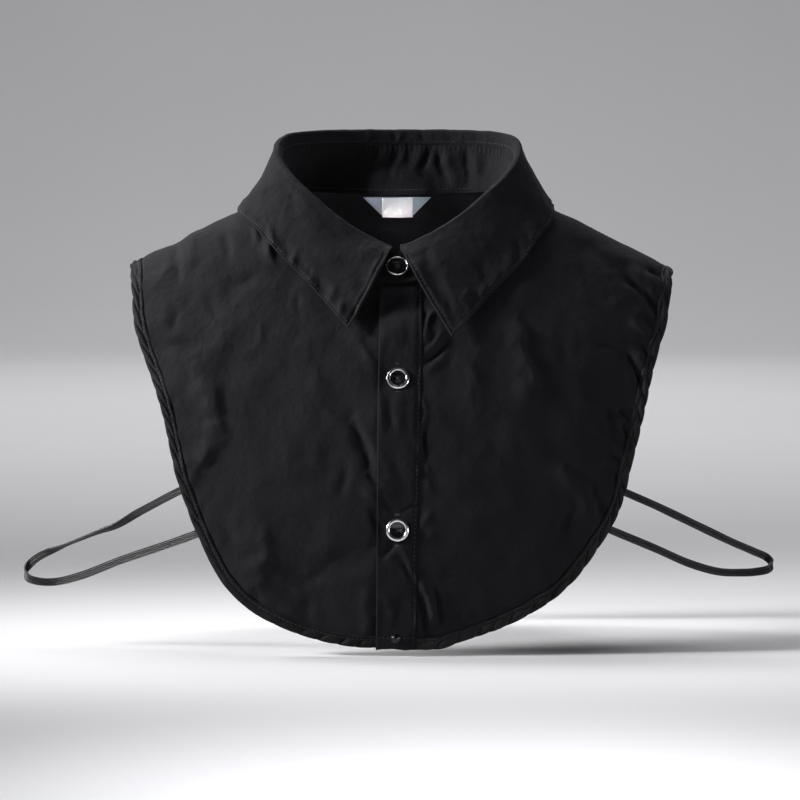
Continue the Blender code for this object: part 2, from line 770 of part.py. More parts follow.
def loop(name, rows, mat):
    path = Route([(r.x, r.y, r.z) for r in rows])
    turn = Route([(r.across_y * 10, r.across_z * 10, 0.2 * i) for i, r in enumerate(rows)])
    knots = [0.0]
    for a, b in zip(rows, rows[1:]):
        knots.append(knots[-1] + (Vector((b.x, b.y, b.z)) - Vector((a.x, a.y, a.z))).length)
    across_y = Line(knots, [r.across_y for r in rows])
    across_z = Line(knots, [r.across_z for r in rows])
    sections = []
    for k in range(LOOP_STEPS + 1):
        s = k / LOOP_STEPS
        p = path(s)
        along = (path(min(s + 0.01, 1)) - path(max(s - 0.01, 0))).normalized()
        w = Vector((0.0, across_y(s * knots[-1]), across_z(s * knots[-1])))
        w = (w - along * w.dot(along)).normalized()
        n = along.cross(w)
        h, t = TAPE_WIDTH / 2, TAPE_WALL / 2
        sections.append([p - w * h - n * t, p + w * h - n * t, p + w * h + n * t, p - w * h + n * t])
    return bar(name, sections, mat)


def button(name, centre, axis, rim_mat, core_mat, r=BUTTON_R):
    e, t = BUTTON_EYE_R, BUTTON_THICK
    rim = [(e, 0.0), (r - 0.5, 0.0), (r, 0.8), (r - 0.3, t - 0.6), (r - 1.2, t),
           (e + 0.5, t - 0.35), (e, t - 0.9)]
    turned(name + "_rim", rim, centre, axis, rim_mat, ring=True)
    c = e - SEAM
    core = [(c * 0.55, 0.0), (c, 0.1), (c, t - 1.3), (c * 0.8, t - 1.0), (c * 0.4, t - 1.15)]
    turned(name + "_eye", core, centre, axis, core_mat)


def label(base_mat, tab_mat):
    """A woven size label, its ends folded to slants, sewn at the back seam."""
    def face(x, z, lift):
        t = turn_of(x, z, back=True)
        return form(t, z) + form_normal(t, z) * lift

    def panel(name, rows, near, far, mat):
        """Rows run up the label: height, left x, right x."""
        inner, outer = [], []
        for k in range(7):
            s = k / 6
            inner.append([face(r[1] + (r[2] - r[1]) * s, r[0], near) for r in rows])
            outer.append([face(r[1] + (r[2] - r[1]) * s, r[0], far) for r in rows])
        # seen from inside the neck, +x is to the right, so the face that
        # looks forward is the outer grid here
        return slab(name, inner, outer, mat)

    panel("label_base", [(15.4, -10.6, 9.9), (20.0, -15.2, 14.3), (26.0, -21.6, 20.4)],
          -0.75, -0.75 - LABEL_WALL, base_mat)
    panel("label_tab", [(14.4, -10.0, 9.3), (20.0, -10.0, 9.3), (26.2, -10.0, 9.3)],
          -1.05 - LABEL_WALL, -1.05 - 2 * LABEL_WALL, tab_mat)


# ------------------------------------------------------------------ build
def build():
    cotton = material("black_cotton", (0.018, 0.018, 0.021), 0.72)
    collar_cloth = material("black_cotton_collar", (0.017, 0.017, 0.020), 0.70)
    bias = material("black_bias_binding", (0.016, 0.016, 0.018), 0.60)
    elastic = material("black_elastic", (0.022, 0.022, 0.025), 0.62)
    metal = material("bright_metal_rim", (0.86, 0.86, 0.88), 0.18, 1.0)
    gloss = material("black_gloss_eye", (0.006, 0.006, 0.008), 0.10)
    snap_metal = material("dark_metal_snap", (0.20, 0.20, 0.22), 0.25, 1.0)
    label_grey = material("label_grey", (0.42, 0.46, 0.54), 0.8)
    label_white = material("label_white", (0.78, 0.80, 0.84), 0.8)

    left_edge = edge_path(EDGE_LEFT, 1, SHOULDER_LEFT_Z)
    right_edge = edge_path(EDGE_RIGHT, -1, SHOULDER_RIGHT_Z)
    back_left = edge_path(EDGE_BACK, 1, SHOULDER_LEFT_Z, back=True)
    back_right = edge_path(EDGE_BACK, -1, SHOULDER_RIGHT_Z, back=True)

    front_panel("front_left", 1, left_edge, OVER_EDGE, cotton)
    front_panel("front_right", -1, right_edge, UNDER_EDGE, cotton)
    back_panel("back", back_left, back_right, cotton)
    front_band(cotton)
    collar_stand(collar_cloth)
    collar_leaf(collar_cloth)

    bar("binding_left", binding(left_edge, 1, PANEL_STEPS[0] - 1), bias)
    bar("binding_right", binding(right_edge, -1, PANEL_STEPS[0] - 1), bias)
    a = binding(back_left, -1, BACK_STEPS[0] // 2)
    b = binding(back_right, 1, BACK_STEPS[0] // 2)
    bar("binding_back", a[::-1] + b[1:], bias)

    loop("loop_right", LOOP_RIGHT, elastic)
    loop("loop_left", LOOP_LEFT, elastic)

    on_band = 2 * WALL + SEAM + 0.4
    for b in BUTTONS:
        t = turn_of(b.x, b.z)
        axis = form_normal(t, b.z)
        button(b.name, cloth(t, b.z, on_band), axis, metal, gloss)
    foot, top, up, out = stand_frame(0.0)
    height = (top - foot).length
    seat = LAP + STAND_WALL / 2 + 0.5
    button("button_neck", foot + up * (height * 0.5 - 1.6) + out * seat - Vector((0.5, 0, 0)),
           out, metal, gloss, NECK_BUTTON_R)
    t = turn_of(*SNAP_AT)
    turned("snap", [(SNAP_R - 0.3, 0.0), (SNAP_R, 0.4), (SNAP_R - 0.5, 1.0), (SNAP_R * 0.45, 1.5)],
           cloth(t, SNAP_AT[1], on_band - 0.1), form_normal(t, SNAP_AT[1]), snap_metal)
    label(label_grey, label_white)


for old in list(bpy.data.objects):
    bpy.data.objects.remove(old, do_unlink=True)
ROOT = bpy.data.objects.new("detachable_collar", None)
bpy.context.scene.collection.objects.link(ROOT)
build()
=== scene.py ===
"""Looks of the detachable shirt collar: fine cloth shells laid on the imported
solids, with their creases, bindings, stitches, buttons and elastic loops.

Tables below are in millimetres, in the CAD's own frame.
"""
import math

import bpy
import numpy as np
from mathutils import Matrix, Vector


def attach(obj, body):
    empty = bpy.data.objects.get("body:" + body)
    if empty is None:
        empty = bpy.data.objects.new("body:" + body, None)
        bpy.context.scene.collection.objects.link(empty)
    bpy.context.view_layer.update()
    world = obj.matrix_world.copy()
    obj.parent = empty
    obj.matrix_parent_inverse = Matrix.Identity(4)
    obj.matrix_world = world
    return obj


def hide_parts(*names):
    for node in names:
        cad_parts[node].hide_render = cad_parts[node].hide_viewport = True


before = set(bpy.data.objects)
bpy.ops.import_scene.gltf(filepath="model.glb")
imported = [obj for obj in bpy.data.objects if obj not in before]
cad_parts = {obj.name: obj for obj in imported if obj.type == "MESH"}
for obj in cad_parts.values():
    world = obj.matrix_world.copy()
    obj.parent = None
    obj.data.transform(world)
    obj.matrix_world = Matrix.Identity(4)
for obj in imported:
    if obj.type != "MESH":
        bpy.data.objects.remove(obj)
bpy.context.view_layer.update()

MM = 0.001

# ------------------------------------------------------------------ sizes
WALL = 1.2
BIND_WIDTH = 6.8
TAPE_WIDTH, TAPE_WALL = 4.8, 1.1
NECK_HALF, FOLD_HALF, FOLD_FRONT, FOLD_BACK = 69.0, 73.0, 41.5, 40.0
ROLL, LEAF_WALL, LEAF_LIFT = 1.8, 1.2, 2.9
STAND_WALL, OVERLAP, LAP = 1.5, 11.5, 1.85
SHOULDER_TURN = 100.0
HEM_Z, BACK_HEM_Z, BAND_TOP_Z = -243.0, -200.0, -28.5
UNDER_EDGE, OVER_EDGE = 8.0, 8.6

FORM = [  # z, half width, depth ahead, depth behind
    (44.0, 44.0, 16.0, 30.0), (30.0, 69.0, 26.0, 41.0), (18.0, 94.5, 33.0, 49.5),
    (6.0, 120.5, 39.5, 56.5), (-6.0, 145.0, 45.5, 63.0), (-18.0, 168.0, 50.5, 69.0),
    (-30.0, 186.0, 56.5, 74.0), (-60.0, 208.0, 73.0, 84.0), (-100.0, 220.0, 90.0, 93.0),
    (-150.0, 226.0, 103.0, 98.0), (-200.0, 229.0, 108.0, 98.5), (-262.0, 230.0, 110.0, 97.0)]
NECK = [(0, -26.0), (9, -24.2), (18, -19.0), (30, -10.5), (45, 1.0), (60, 12.0),
        (75, 22.0), (90, 30.0), (110, 30.6), (140, 29.0), (180, 28.0)]
FOLD = [(0, -4.0, 3.8), (15, 3.6, 4.3), (30, 15.3, 5.0), (45, 28.6, 5.8),
        (60, 39.8, 6.6), (75, 50.0, 7.4), (90, 58.6, 8.2), (105, 64.0, 8.8),
        (120, 66.6, 9.0), (150, 68.2, 9.0), (180, 68.4, 9.0)]
LEAF_LEFT = [(1.0, 32.2, -56.4), (24.0, 46.0, -42.4), (45.0, 60.5, -28.0),
             (62.0, 76.0, -12.5), (76.0, 87.0, 2.6), (90.0, 94.5, 17.4),
             (110.0, 84.0, 19.0), (135.0, 62.0, 18.0), (160.0, 31.0, 17.5),
             (180.0, 0.0, 17.5)]
LEAF_RIGHT = [(2.8, 29.5, -51.6), (25.0, 43.5, -36.6), (45.0, 57.5, -22.0),
              (62.0, 73.5, -7.0), (76.0, 87.0, 6.5), (90.0, 97.5, 18.0),
              (110.0, 84.0, 19.5), (135.0, 62.0, 18.0), (160.0, 31.0, 17.5),
              (180.0, 0.0, 17.5)]
EDGE_LEFT = [(11.6, HEM_Z), (25.5, -242.6), (36.6, -238.8), (67.3, -228.0),
             (98.0, -209.8), (119.8, -184.4), (133.9, -160.0), (142.0, -129.6),
             (154.2, -80.6), (161.4, -58.0), (166.2, -36.0)]
EDGE_RIGHT = [(13.6, -241.9), (27.5, -241.2), (55.1, -235.4), (85.8, -222.0),
              (104.3, -205.0), (117.9, -181.0), (131.2, -148.0), (147.6, -87.2),
              (162.4, -33.0)]
EDGE_BACK = [(0.0, BACK_HEM_Z), (35.0, -196.5), (70.0, -184.5), (98.0, -163.0),
             (119.0, -132.0), (135.0, -95.0), (149.0, -58.0), (159.0, -34.0)]
SHOULDER_LEFT_Z, SHOULDER_RIGHT_Z = -19.0, -15.5
BAND = [(-28.0, -11.0, 14.6), (-60.0, -11.5, 14.3), (-100.0, -12.2, 13.5),
        (-142.0, -12.5, 12.6), (-186.0, -12.7, 11.4), (-243.0, -13.2, 10.8)]
LOOP_RIGHT = [
    (-120.0, -84.6, -144.6, 0.1, -1.0), (-131.6, -79.6, -149.9, 0.1, -1.0),
    (-157.5, -72.0, -163.9, 0.2, -1.0), (-170.5, -68.0, -171.6, 0.6, -0.8),
    (-181.7, -63.0, -176.0, 0.9, -0.45), (-203.0, -52.0, -185.0, 0.95, -0.3),
    (-214.0, -46.5, -189.8, 0.45, -0.9), (-221.0, -43.5, -193.8, 0.1, -1.0),
    (-226.0, -42.5, -198.2, 0.0, -1.0), (-228.0, -45.5, -202.0, 0.0, -1.0),
    (-226.0, -49.0, -205.4, 0.0, -1.0), (-219.5, -50.5, -207.4, 0.0, -1.0),
    (-209.0, -51.0, -207.6, 0.0, -1.0),
    (-193.0, -56.0, -203.4, 0.0, -1.0), (-168.2, -65.0, -193.2, 0.0, -1.0),
    (-144.0, -75.5, -184.3, 0.0, -1.0), (-122.0, -86.2, -175.8, 0.0, -1.0),
    (-110.0, -90.3, -170.9, 0.0, -1.0)]
LOOP_LEFT = [
    (126.0, -82.2, -145.8, 0.0, -1.0), (137.7, -76.6, -151.2, 0.0, -1.0),
    (156.0, -73.0, -159.4, 0.0, -1.0), (180.0, -66.0, -171.2, 0.0, -1.0),
    (203.0, -57.0, -182.6, 0.0, -1.0), (217.0, -50.0, -189.0, 0.0, -1.0),
    (225.5, -46.0, -193.2, 0.0, -1.0), (228.6, -48.6, -197.0, 0.0, -1.0),
    (226.0, -52.0, -199.8, 0.0, -1.0), (218.0, -53.0, -201.4, 0.0, -1.0),
    (210.0, -53.5, -201.8, 0.0, -1.0), (196.0, -57.0, -201.0, 0.0, -1.0),
    (178.0, -64.0, -195.6, 0.0, -1.0), (155.0, -73.5, -185.0, 0.0, -1.0),
    (129.0, -83.0, -173.6, 0.0, -1.0), (117.0, -87.6, -168.2, 0.0, -1.0)]
BUTTONS = [("button_middle", 0.0, -82.3), ("button_lower", -0.3, -171.8)]
SNAP_AT = (-1.5, -236.4)

# Creases of the front bib: x0 z0 x1 z1 bow half_width rise skew.  A rise below
# 0 is a trough; a skew above 0 makes the wearer's right side the gentler one.
FRONT_CREASES = [
    # wearer's right front
    (-87.1, 7.9, -85.0, -3.0, 0.0, 2.7, 1.10, 0.2),
    (-78.3, 1.9, -76.2, -16.2, 0.0, 3.6, 1.70, 0.4),
    (-104.8, -30.1, -82.9, -21.0, 0.6, 5.4, -1.20, 0.0),
    (-116.4, -35.0, -107.6, -45.1, 0.0, 4.2, -0.80, 0.0),
    (-140.4, -36.4, -143.2, -52.0, 0.0, 3.0, 0.60, 0.0),
    (-134.1, -41.8, -136.9, -53.7, 0.0, 3.0, -0.50, 0.0),
    (-144.7, -64.6, -116.5, -61.3, -1.2, 4.8, -0.90, 0.0),
    (-122.7, -83.4, -94.1, -50.6, 1.8, 9.5, 1.20, 0.2),
    (-113.0, -84.0, -107.0, -117.0, -1.0, 9.5, 2.6, 0.45),
    (-107.0, -119.0, -126.0, -146.0, -1.0, 7.5, 1.9, 0.45),
    (-35.1, -97.5, -15.5, -141.5, 3.0, 6.6, -1.60, -0.3),
    (-24.6, -107.5, -13.2, -130.0, 1.8, 3.6, 0.90, 0.0),
    (-31.2, -131.8, -35.3, -153.1, 0.6, 4.2, -0.70, 0.0),
    (-22.1, -147.7, -11.3, -156.6, 0.6, 3.0, 0.90, 0.0),
    (-17.9, -138.9, -11.3, -146.0, 0.0, 2.4, -0.90, 0.0),
    (-16.1, -160.2, -11.3, -171.5, 0.0, 2.7, -0.80, 0.0),
    (-78.8, -160.9, -85.4, -215.2, 2.4, 12.0, 2.20, 0.4),
    (-58.0, -196.0, -50.0, -232.0, 1.0, 15.0, -1.60, 0.0),
    (-13.9, -184.1, -63.1, -199.9, 2.4, 9.8, -1.30, 0.2),
    (-50.3, -205.1, -47.9, -229.1, 0.0, 4.8, 0.70, 0.0),
    (-19.1, -203.7, -17.3, -233.7, 0.0, 4.2, 0.70, 0.0),
    (-28.4, -54.3, -12.6, -79.1, 1.2, 4.2, 1.10, 0.2),
    (-62.0, -32.9, -59.4, -44.9, 0.0, 2.4, -0.40, 0.0),
    (-98.0, -68.9, -81.1, -64.0, 0.0, 4.2, 0.50, 0.0),
    (-82.5, -48.5, -82.9, -62.8, 0.0, 3.0, 0.50, 0.0),
    (-59.2, -62.1, -40.9, -94.6, -2.4, 7.2, 0.80, 0.1),
    (-67.9, -118.4, -61.2, -145.6, 1.2, 5.4, 0.50, 0.0),
    (-45.6, -112.4, -49.2, -136.1, 0.0, 4.8, 0.50, 0.0),
    (-105.8, -166.5, -94.9, -183.0, 0.0, 5.4, -0.60, 0.0),
    (-137.4, 2.5, -134.5, -26.2, 0.0, 4.2, -0.90, 0.0),
    (-125.0, 8.7, -126.1, -16.5, 0.0, 4.8, 0.80, 0.1),
    (-108.2, 5.3, -101.4, -12.7, 0.0, 4.2, -0.60, 0.0),
    (-151.8, -30.0, -136.3, -13.0, 0.0, 4.2, 0.60, 0.0),
    # wearer's left front
    (72.2, -46.1, 83.9, -93.7, -1.2, 5.9, 2.20, 0.47),
    (99.5, -53.4, 101.6, -78.4, 0.0, 5.4, -0.50, 0.0),
    (137.2, -22.0, 158.4, -43.3, 1.8, 3.3, -1.50, 0.2),
    (143.6, -17.9, 158.2, -30.0, 0.6, 3.6, 0.90, 0.0),
    (152.5, -17.4, 162.3, -23.0, 0.0, 2.1, -0.80, 0.0),
    (141.4, -49.0, 154.2, -58.7, -0.6, 1.9, 0.90, 0.0),
    (147.7, -46.7, 156.8, -54.6, 0.0, 2.4, -0.60, 0.0),
    (146.1, -61.6, 151.5, -70.7, 0.0, 1.9, -0.90, 0.0),
    (136.7, -65.7, 146.9, -87.3, 1.8, 2.7, -1.40, 0.2),
    (143.5, -65.8, 149.5, -81.4, 0.6, 3.3, 1.00, 0.0),
    (119.6, -62.5, 136.7, -65.7, 0.6, 3.6, -0.60, 0.0),
    (122.7, -98.8, 129.3, -115.7, 1.2, 3.0, -0.90, 0.0),
    (131.3, -101.4, 141.6, -109.9, 0.6, 2.1, -1.00, 0.0),
    (134.3, -109.2, 139.7, -118.3, 0.0, 2.1, -0.80, 0.0),
    (115.9, -111.9, 133.5, -126.5, 0.6, 1.9, 0.90, 0.0),
    (125.6, -126.3, 134.1, -133.7, 0.0, 1.9, -0.90, 0.0),
    (123.7, -134.0, 131.6, -141.9, 0.0, 1.9, -0.80, 0.0),
    (94.5, -134.2, 106.5, -149.2, 0.0, 6.0, 1.00, 0.0),
    (98.1, -131.2, 113.8, -143.4, 0.6, 3.3, -0.90, 0.0),
    (104.1, -147.3, 118.6, -169.2, 1.2, 4.8, 1.10, 0.0),
    (115.0, -145.8, 122.9, -163.3, 0.6, 3.0, -1.20, 0.0),
    (106.5, -153.3, 97.4, -181.9, -1.2, 4.8, -0.90, 0.0),
    (88.3, -196.1, 91.3, -211.7, 0.0, 2.7, -1.00, 0.0),
    (83.5, -196.0, 87.1, -214.0, 0.0, 3.6, 0.80, 0.0),
    (67.8, -214.3, 79.8, -217.5, 0.0, 3.6, 0.70, 0.0),
    (25.2, -196.0, 39.6, -194.9, 0.0, 1.3, -0.40, 0.0),
    (25.8, -199.6, 39.6, -198.8, 0.0, 1.3, -0.45, 0.0),
    (27.6, -203.8, 39.0, -203.2, 0.0, 1.3, -0.35, 0.0),
    (39.6, -220.6, 43.2, -221.9, 0.0, 2.1, 0.70, 0.0),
    (23.1, -40.6, 16.3, -60.8, -2.4, 2.5, 1.40, 0.1),
    (18.2, -41.2, 15.8, -54.3, -0.6, 1.8, -1.10, 0.0),
    (27.9, -54.3, 15.7, -67.9, 1.2, 2.5, 1.20, 0.1),
    (30.3, -59.6, 16.3, -73.2, 1.2, 2.4, -1.10, 0.0),
    (30.8, -66.1, 16.9, -78.6, 0.6, 3.0, 0.80, 0.0),
    (13.9, -92.7, 18.7, -102.2, 0.0, 2.1, 0.60, 0.0),
    (17.5, -102.8, 13.3, -112.8, 0.0, 2.1, 0.70, 0.0),
    (15.7, -111.7, 15.9, -132.4, 0.0, 1.9, -1.10, 0.0),
    (15.6, -131.2, 18.6, -138.3, 0.0, 2.1, 0.60, 0.0),
    (15.6, -140.6, 20.4, -150.1, 0.0, 3.0, 0.70, 0.0),
    (20.4, -159.6, 13.8, -169.8, 0.0, 2.7, 0.90, 0.0),
    (21.6, -172.8, 15.0, -179.3, 0.0, 2.7, 1.00, 0.0),
    (13.2, -202.5, 21.6, -228.9, 1.8, 2.5, 1.80, 0.0),
    (14.1, -210.9, 16.2, -237.3, 0.0, 2.4, -1.70, 0.0),
    (19.8, -201.3, 24.6, -228.9, 1.2, 2.4, -1.50, 0.0),
    (27.0, -212.2, 29.4, -228.9, 0.0, 3.6, 0.80, 0.0),
    (43.5, -63.8, 46.9, -106.4, 1.2, 7.8, 1.00, 0.1),
    (123.3, -29.7, 147.6, -49.1, 1.2, 6.0, 0.60, 0.0),
    (103.9, -89.1, 122.1, -102.4, 0.0, 6.0, 0.60, 0.0),
    (49.3, -118.3, 73.3, -136.3, 0.0, 8.4, -0.50, 0.0),
    (99.3, 0.6, 148.3, -25.1, 1.2, 6.0, -0.70, 0.0),
    (61.2, -180.8, 85.3, -190.1, 0.0, 7.2, 0.50, 0.0),
]
# The same for the back bib, which the photograph doesn't show.
BACK_CREASES = [
    (34.0, 10.0, 60.0, -74.0, 5.0, 9.0, -1.7, 0.1),
    (48.0, 2.0, 78.0, -52.0, 3.0, 7.0, 1.2, 0.2),
    (-32.0, 8.0, -64.0, -86.0, -4.0, 9.5, -1.9, -0.1),
    (-50.0, 0.0, -88.0, -48.0, -3.0, 6.5, 1.2, 0.1),
    (8.0, -62.0, -4.0, -158.0, 3.0, 10.0, -1.4, 0.2),
    (-18.0, -80.0, -26.0, -150.0, 2.0, 8.0, 1.0, 0.1),
    (88.0, -6.0, 118.0, -24.0, 1.5, 4.5, 1.2, 0.0),
    (104.0, -22.0, 138.0, -44.0, 1.0, 4.0, -1.1, 0.2),
    (112.0, -58.0, 138.0, -70.0, 1.0, 3.4, 1.0, 0.0),
    (100.0, -88.0, 128.0, -92.0, -1.0, 4.4, -1.0, 0.0),
    (92.0, -126.0, 112.0, -132.0, 1.0, 4.0, 0.9, 0.2),
    (64.0, -150.0, 84.0, -168.0, 1.0, 5.0, -1.0, 0.0),
    (-92.0, -10.0, -122.0, -30.0, -1.5, 4.2, -1.1, 0.0),
    (-112.0, -46.0, -142.0, -56.0, 1.0, 3.6, 1.0, 0.2),
    (-104.0, -78.0, -134.0, -88.0, 0.0, 4.2, -1.1, 0.0),
    (-86.0, -112.0, -120.0, -120.0, 1.0, 4.0, 0.9, 0.0),
    (-74.0, -140.0, -96.0, -156.0, 0.0, 4.4, -0.9, 0.1),
    (-30.0, -176.0, -36.0, -192.0, 0.0, 4.0, 0.9, 0.0),
    (22.0, -172.0, 30.0, -192.0, 0.0, 4.0, -0.9, 0.0),
    (40.0, -96.0, 52.0, -128.0, 2.0, 7.0, 0.8, 0.0),
    (-48.0, -100.0, -58.0, -134.0, -2.0, 7.0, -0.8, 0.0),
]
BAND_CREASES = [
    (-8.4, -55.4, 13.3, -53.1, 0.6, 5.4, 0.60, 0.0),
    (-8.4, -82.7, 13.3, -82.7, 0.0, 5.5, -0.40, 0.0),
    (-7.2, -91.0, -3.0, -114.6, 0.6, 3.6, -1.00, 0.0),
    (1.8, -92.1, 0.6, -113.4, 0.0, 3.6, 0.60, 0.0),
    (9.7, -94.5, 8.4, -118.2, 0.0, 3.0, 0.40, 0.0),
    (11.4, -116.4, 12.6, -125.9, 0.0, 2.1, 0.70, 0.0),
    (12.0, -133.6, 12.0, -140.1, 0.0, 2.1, 0.60, 0.0),
    (-7.2, -121.7, 2.4, -143.0, 1.2, 4.2, -0.50, 0.0),
    (2.4, -160.5, 12.0, -157.2, 0.3, 1.5, -1.20, 0.0),
    (-10.7, -151.9, -1.2, -163.8, 0.0, 2.4, -0.90, 0.0),
    (0.0, -178.7, -10.7, -188.2, 0.6, 3.3, -1.60, 0.2),
    (0.6, -180.5, 12.0, -203.1, 0.6, 2.5, 1.00, 0.0),
    (-0.6, -187.0, 10.2, -202.5, 0.6, 2.4, -1.20, 0.0),
    (9.6, -212.1, 10.8, -233.7, 0.0, 3.0, 0.90, 0.0),
    (-8.3, -207.3, -3.5, -228.9, 1.2, 3.6, 0.50, 0.0),
    (2.4, -213.3, 0.0, -230.0, 0.0, 3.6, -0.40, 0.0),
    (-3.6, -59.0, -6.0, -66.1, 0.0, 3.0, -0.50, 0.0),
    (4.9, -45.9, 8.5, -64.9, 0.0, 3.0, -0.50, 0.0),
]
LEAF_CREASES = [
    (-83.2, 8.0, -79.3, -1.6, 0.0, 3.0, -1.00, 0.0),
    (-79.5, 9.2, -74.4, -1.6, 0.0, 2.1, 0.70, 0.0),
    (-72.0, 0.8, -65.7, -10.0, 0.6, 3.6, -1.00, 0.0),
    (-60.9, -2.7, -63.8, -13.6, 0.0, 2.1, 0.90, 0.0),
    (-60.8, -12.4, -52.2, -20.7, 0.0, 3.9, -1.10, 0.0),
    (-52.2, -20.1, -54.6, -25.5, 0.0, 2.1, 0.80, 0.0),
    (-48.5, -23.1, -42.4, -33.8, 0.0, 3.6, -1.00, 0.0),
    (-37.6, -26.7, -40.5, -36.2, 0.0, 2.7, 0.90, 0.0),
    (-27.9, -25.5, -25.4, -38.6, 0.0, 3.6, 0.90, 0.0),
    (-32.7, -35.0, -35.0, -45.7, 0.0, 3.0, 1.00, 0.0),
    (-25.4, -38.6, -27.8, -45.7, 0.0, 2.4, -0.80, 0.0),
    (-79.0, 24.8, -64.8, 11.7, 0.6, 5.4, 0.70, 0.0),
    (-60.0, 21.4, -48.8, 5.7, 0.6, 6.0, 0.60, 0.0),
    (-41.5, 9.4, -28.0, -2.6, 0.0, 5.4, -0.70, 0.0),
    (-48.7, -5.1, -35.2, -12.3, 0.0, 4.8, 0.60, 0.0),
    (-32.2, -9.9, -15.8, -6.2, 0.0, 4.8, 0.60, 0.0),
    (-71.8, 33.4, -60.1, 22.6, 0.0, 4.8, -0.60, 0.0),
    (-84.1, 33.4, -79.8, 16.4, 0.0, 4.8, 0.60, 0.0),
    (14.0, 0.2, 34.3, -43.7, -2.4, 4.8, -1.05, 0.0),
    (23.5, -14.3, 36.7, -40.1, 0.0, 6.4, 0.50, 0.0),
    (27.9, -24.3, 32.8, -27.9, 0.0, 3.0, 0.70, 0.0),
    (38.8, -35.0, 43.7, -29.1, 0.0, 2.7, 0.90, 0.0),
    (48.5, -33.9, 53.4, -26.7, 0.0, 2.4, 1.00, 0.0),
    (58.3, -26.7, 62.0, -16.0, 0.0, 3.0, 1.10, 0.0),
    (65.7, -19.6, 69.5, -6.4, 0.0, 3.6, 1.00, 0.0),
    (74.3, -8.8, 72.0, 0.8, 0.0, 3.0, -0.80, 0.0),
    (84.3, 2.0, 79.6, 9.2, 0.0, 3.6, 0.90, 0.0),
    (54.7, -23.1, 49.9, -12.3, 0.0, 3.6, -0.80, 0.0),
    (32.7, -42.1, 29.1, -32.6, 0.0, 3.0, -0.70, 0.0),
    (43.8, -5.1, 62.3, 9.3, 0.0, 7.2, 0.70, 0.0),
    (75.2, 24.9, 81.0, 16.4, 0.0, 5.4, -0.60, 0.0),
]
# Gathers of the stand at the back, seen through the neck opening.
INNER_CREASES = [
    (-32.6, 66.9, -27.6, 60.6, 0.0, 3.1, 0.80, 0.0),
    (-16.3, 67.5, -20.1, 60.0, 0.0, 2.5, -0.80, 0.0),
    (-3.8, 67.5, -0.0, 60.0, 0.0, 2.2, 0.90, 0.0),
    (2.5, 67.5, -1.3, 58.7, 0.0, 1.9, -0.90, 0.0),
    (13.8, 67.5, 17.5, 60.0, 0.0, 2.5, 0.90, 0.0),
    (21.3, 66.9, 20.0, 60.0, 0.0, 2.5, -0.80, 0.0),
    (30.1, 66.9, 33.8, 59.4, 0.0, 2.8, 0.80, 0.0),
    (40.1, 66.2, 37.6, 58.7, 0.0, 2.5, -0.70, 0.0),
    (48.9, 65.6, 51.4, 58.7, 0.0, 3.1, 0.60, 0.0),
    (60.1, 64.4, 58.9, 57.5, 0.0, 3.1, 0.50, 0.0),
    (-23.8, 58.1, -28.8, 41.8, 0.0, 4.4, 0.50, 0.0),
    (-11.3, 58.1, -15.1, 45.6, 0.0, 3.1, -0.60, 0.0),
    (3.7, 58.1, -3.8, 38.1, 1.3, 3.1, 1.00, 0.0),
    (-1.3, 55.6, -7.5, 35.6, 1.3, 3.1, -1.00, 0.0),
    (14.4, 58.1, 10.0, 39.3, 0.0, 3.1, 0.90, 0.0),
    (20.0, 58.1, 16.3, 43.1, 0.0, 2.5, -0.80, 0.0),
    (30.7, 58.1, 36.3, 31.8, 1.3, 4.1, 1.50, 0.0),
    (25.1, 55.6, 30.1, 35.6, 0.6, 3.1, -1.20, 0.0),
    (40.7, 56.9, 45.1, 35.6, 0.6, 3.1, -1.30, 0.0),
    (47.6, 56.9, 52.6, 38.1, 0.0, 3.5, 1.10, 0.0),
    (57.6, 55.6, 55.1, 39.3, 0.0, 3.1, -0.70, 0.0),
    (7.5, 41.8, 23.8, 33.1, 0.0, 4.4, 0.60, 0.0),
    (-18.8, 39.3, -6.3, 30.6, 0.0, 4.4, 0.40, 0.0),
]
# Twisted pleats along the bindings: place, strength and slant, as the tangent
# of the angle to the binding's own line.
PLEATS_LEFT = [
    (165.1, -30.2, 0.7, 0.45), (160.7, -48.1, 0.9, 0.5), (155.3, -67.8, 1.0, 0.5),
    (151.3, -79.1, 0.9, 0.5), (148.7, -90.3, 0.9, 0.5), (145.4, -101.0, 1.0, 0.5),
    (142.8, -113.5, 0.9, 0.5), (139.0, -126.6, 0.9, 0.5), (133.4, -143.1, 1.0, 0.5),
    (131.5, -152.0, 0.9, 0.5), (127.8, -159.8, 0.9, 0.5), (120.4, -171.0, 1.0, 0.5),
    (115.6, -185.2, 1.0, 0.55), (108.2, -197.0, 1.1, 0.6), (97.3, -208.2, 1.1, 0.7),
    (87.1, -217.0, 0.9, 0.8), (73.2, -224.0, 0.9, 0.9), (59.4, -229.2, 0.8, 0.9),
    (53.4, -231.5, 0.8, 0.9), (43.2, -233.2, 0.8, 0.9), (28.2, -237.3, 0.7, 0.9)]
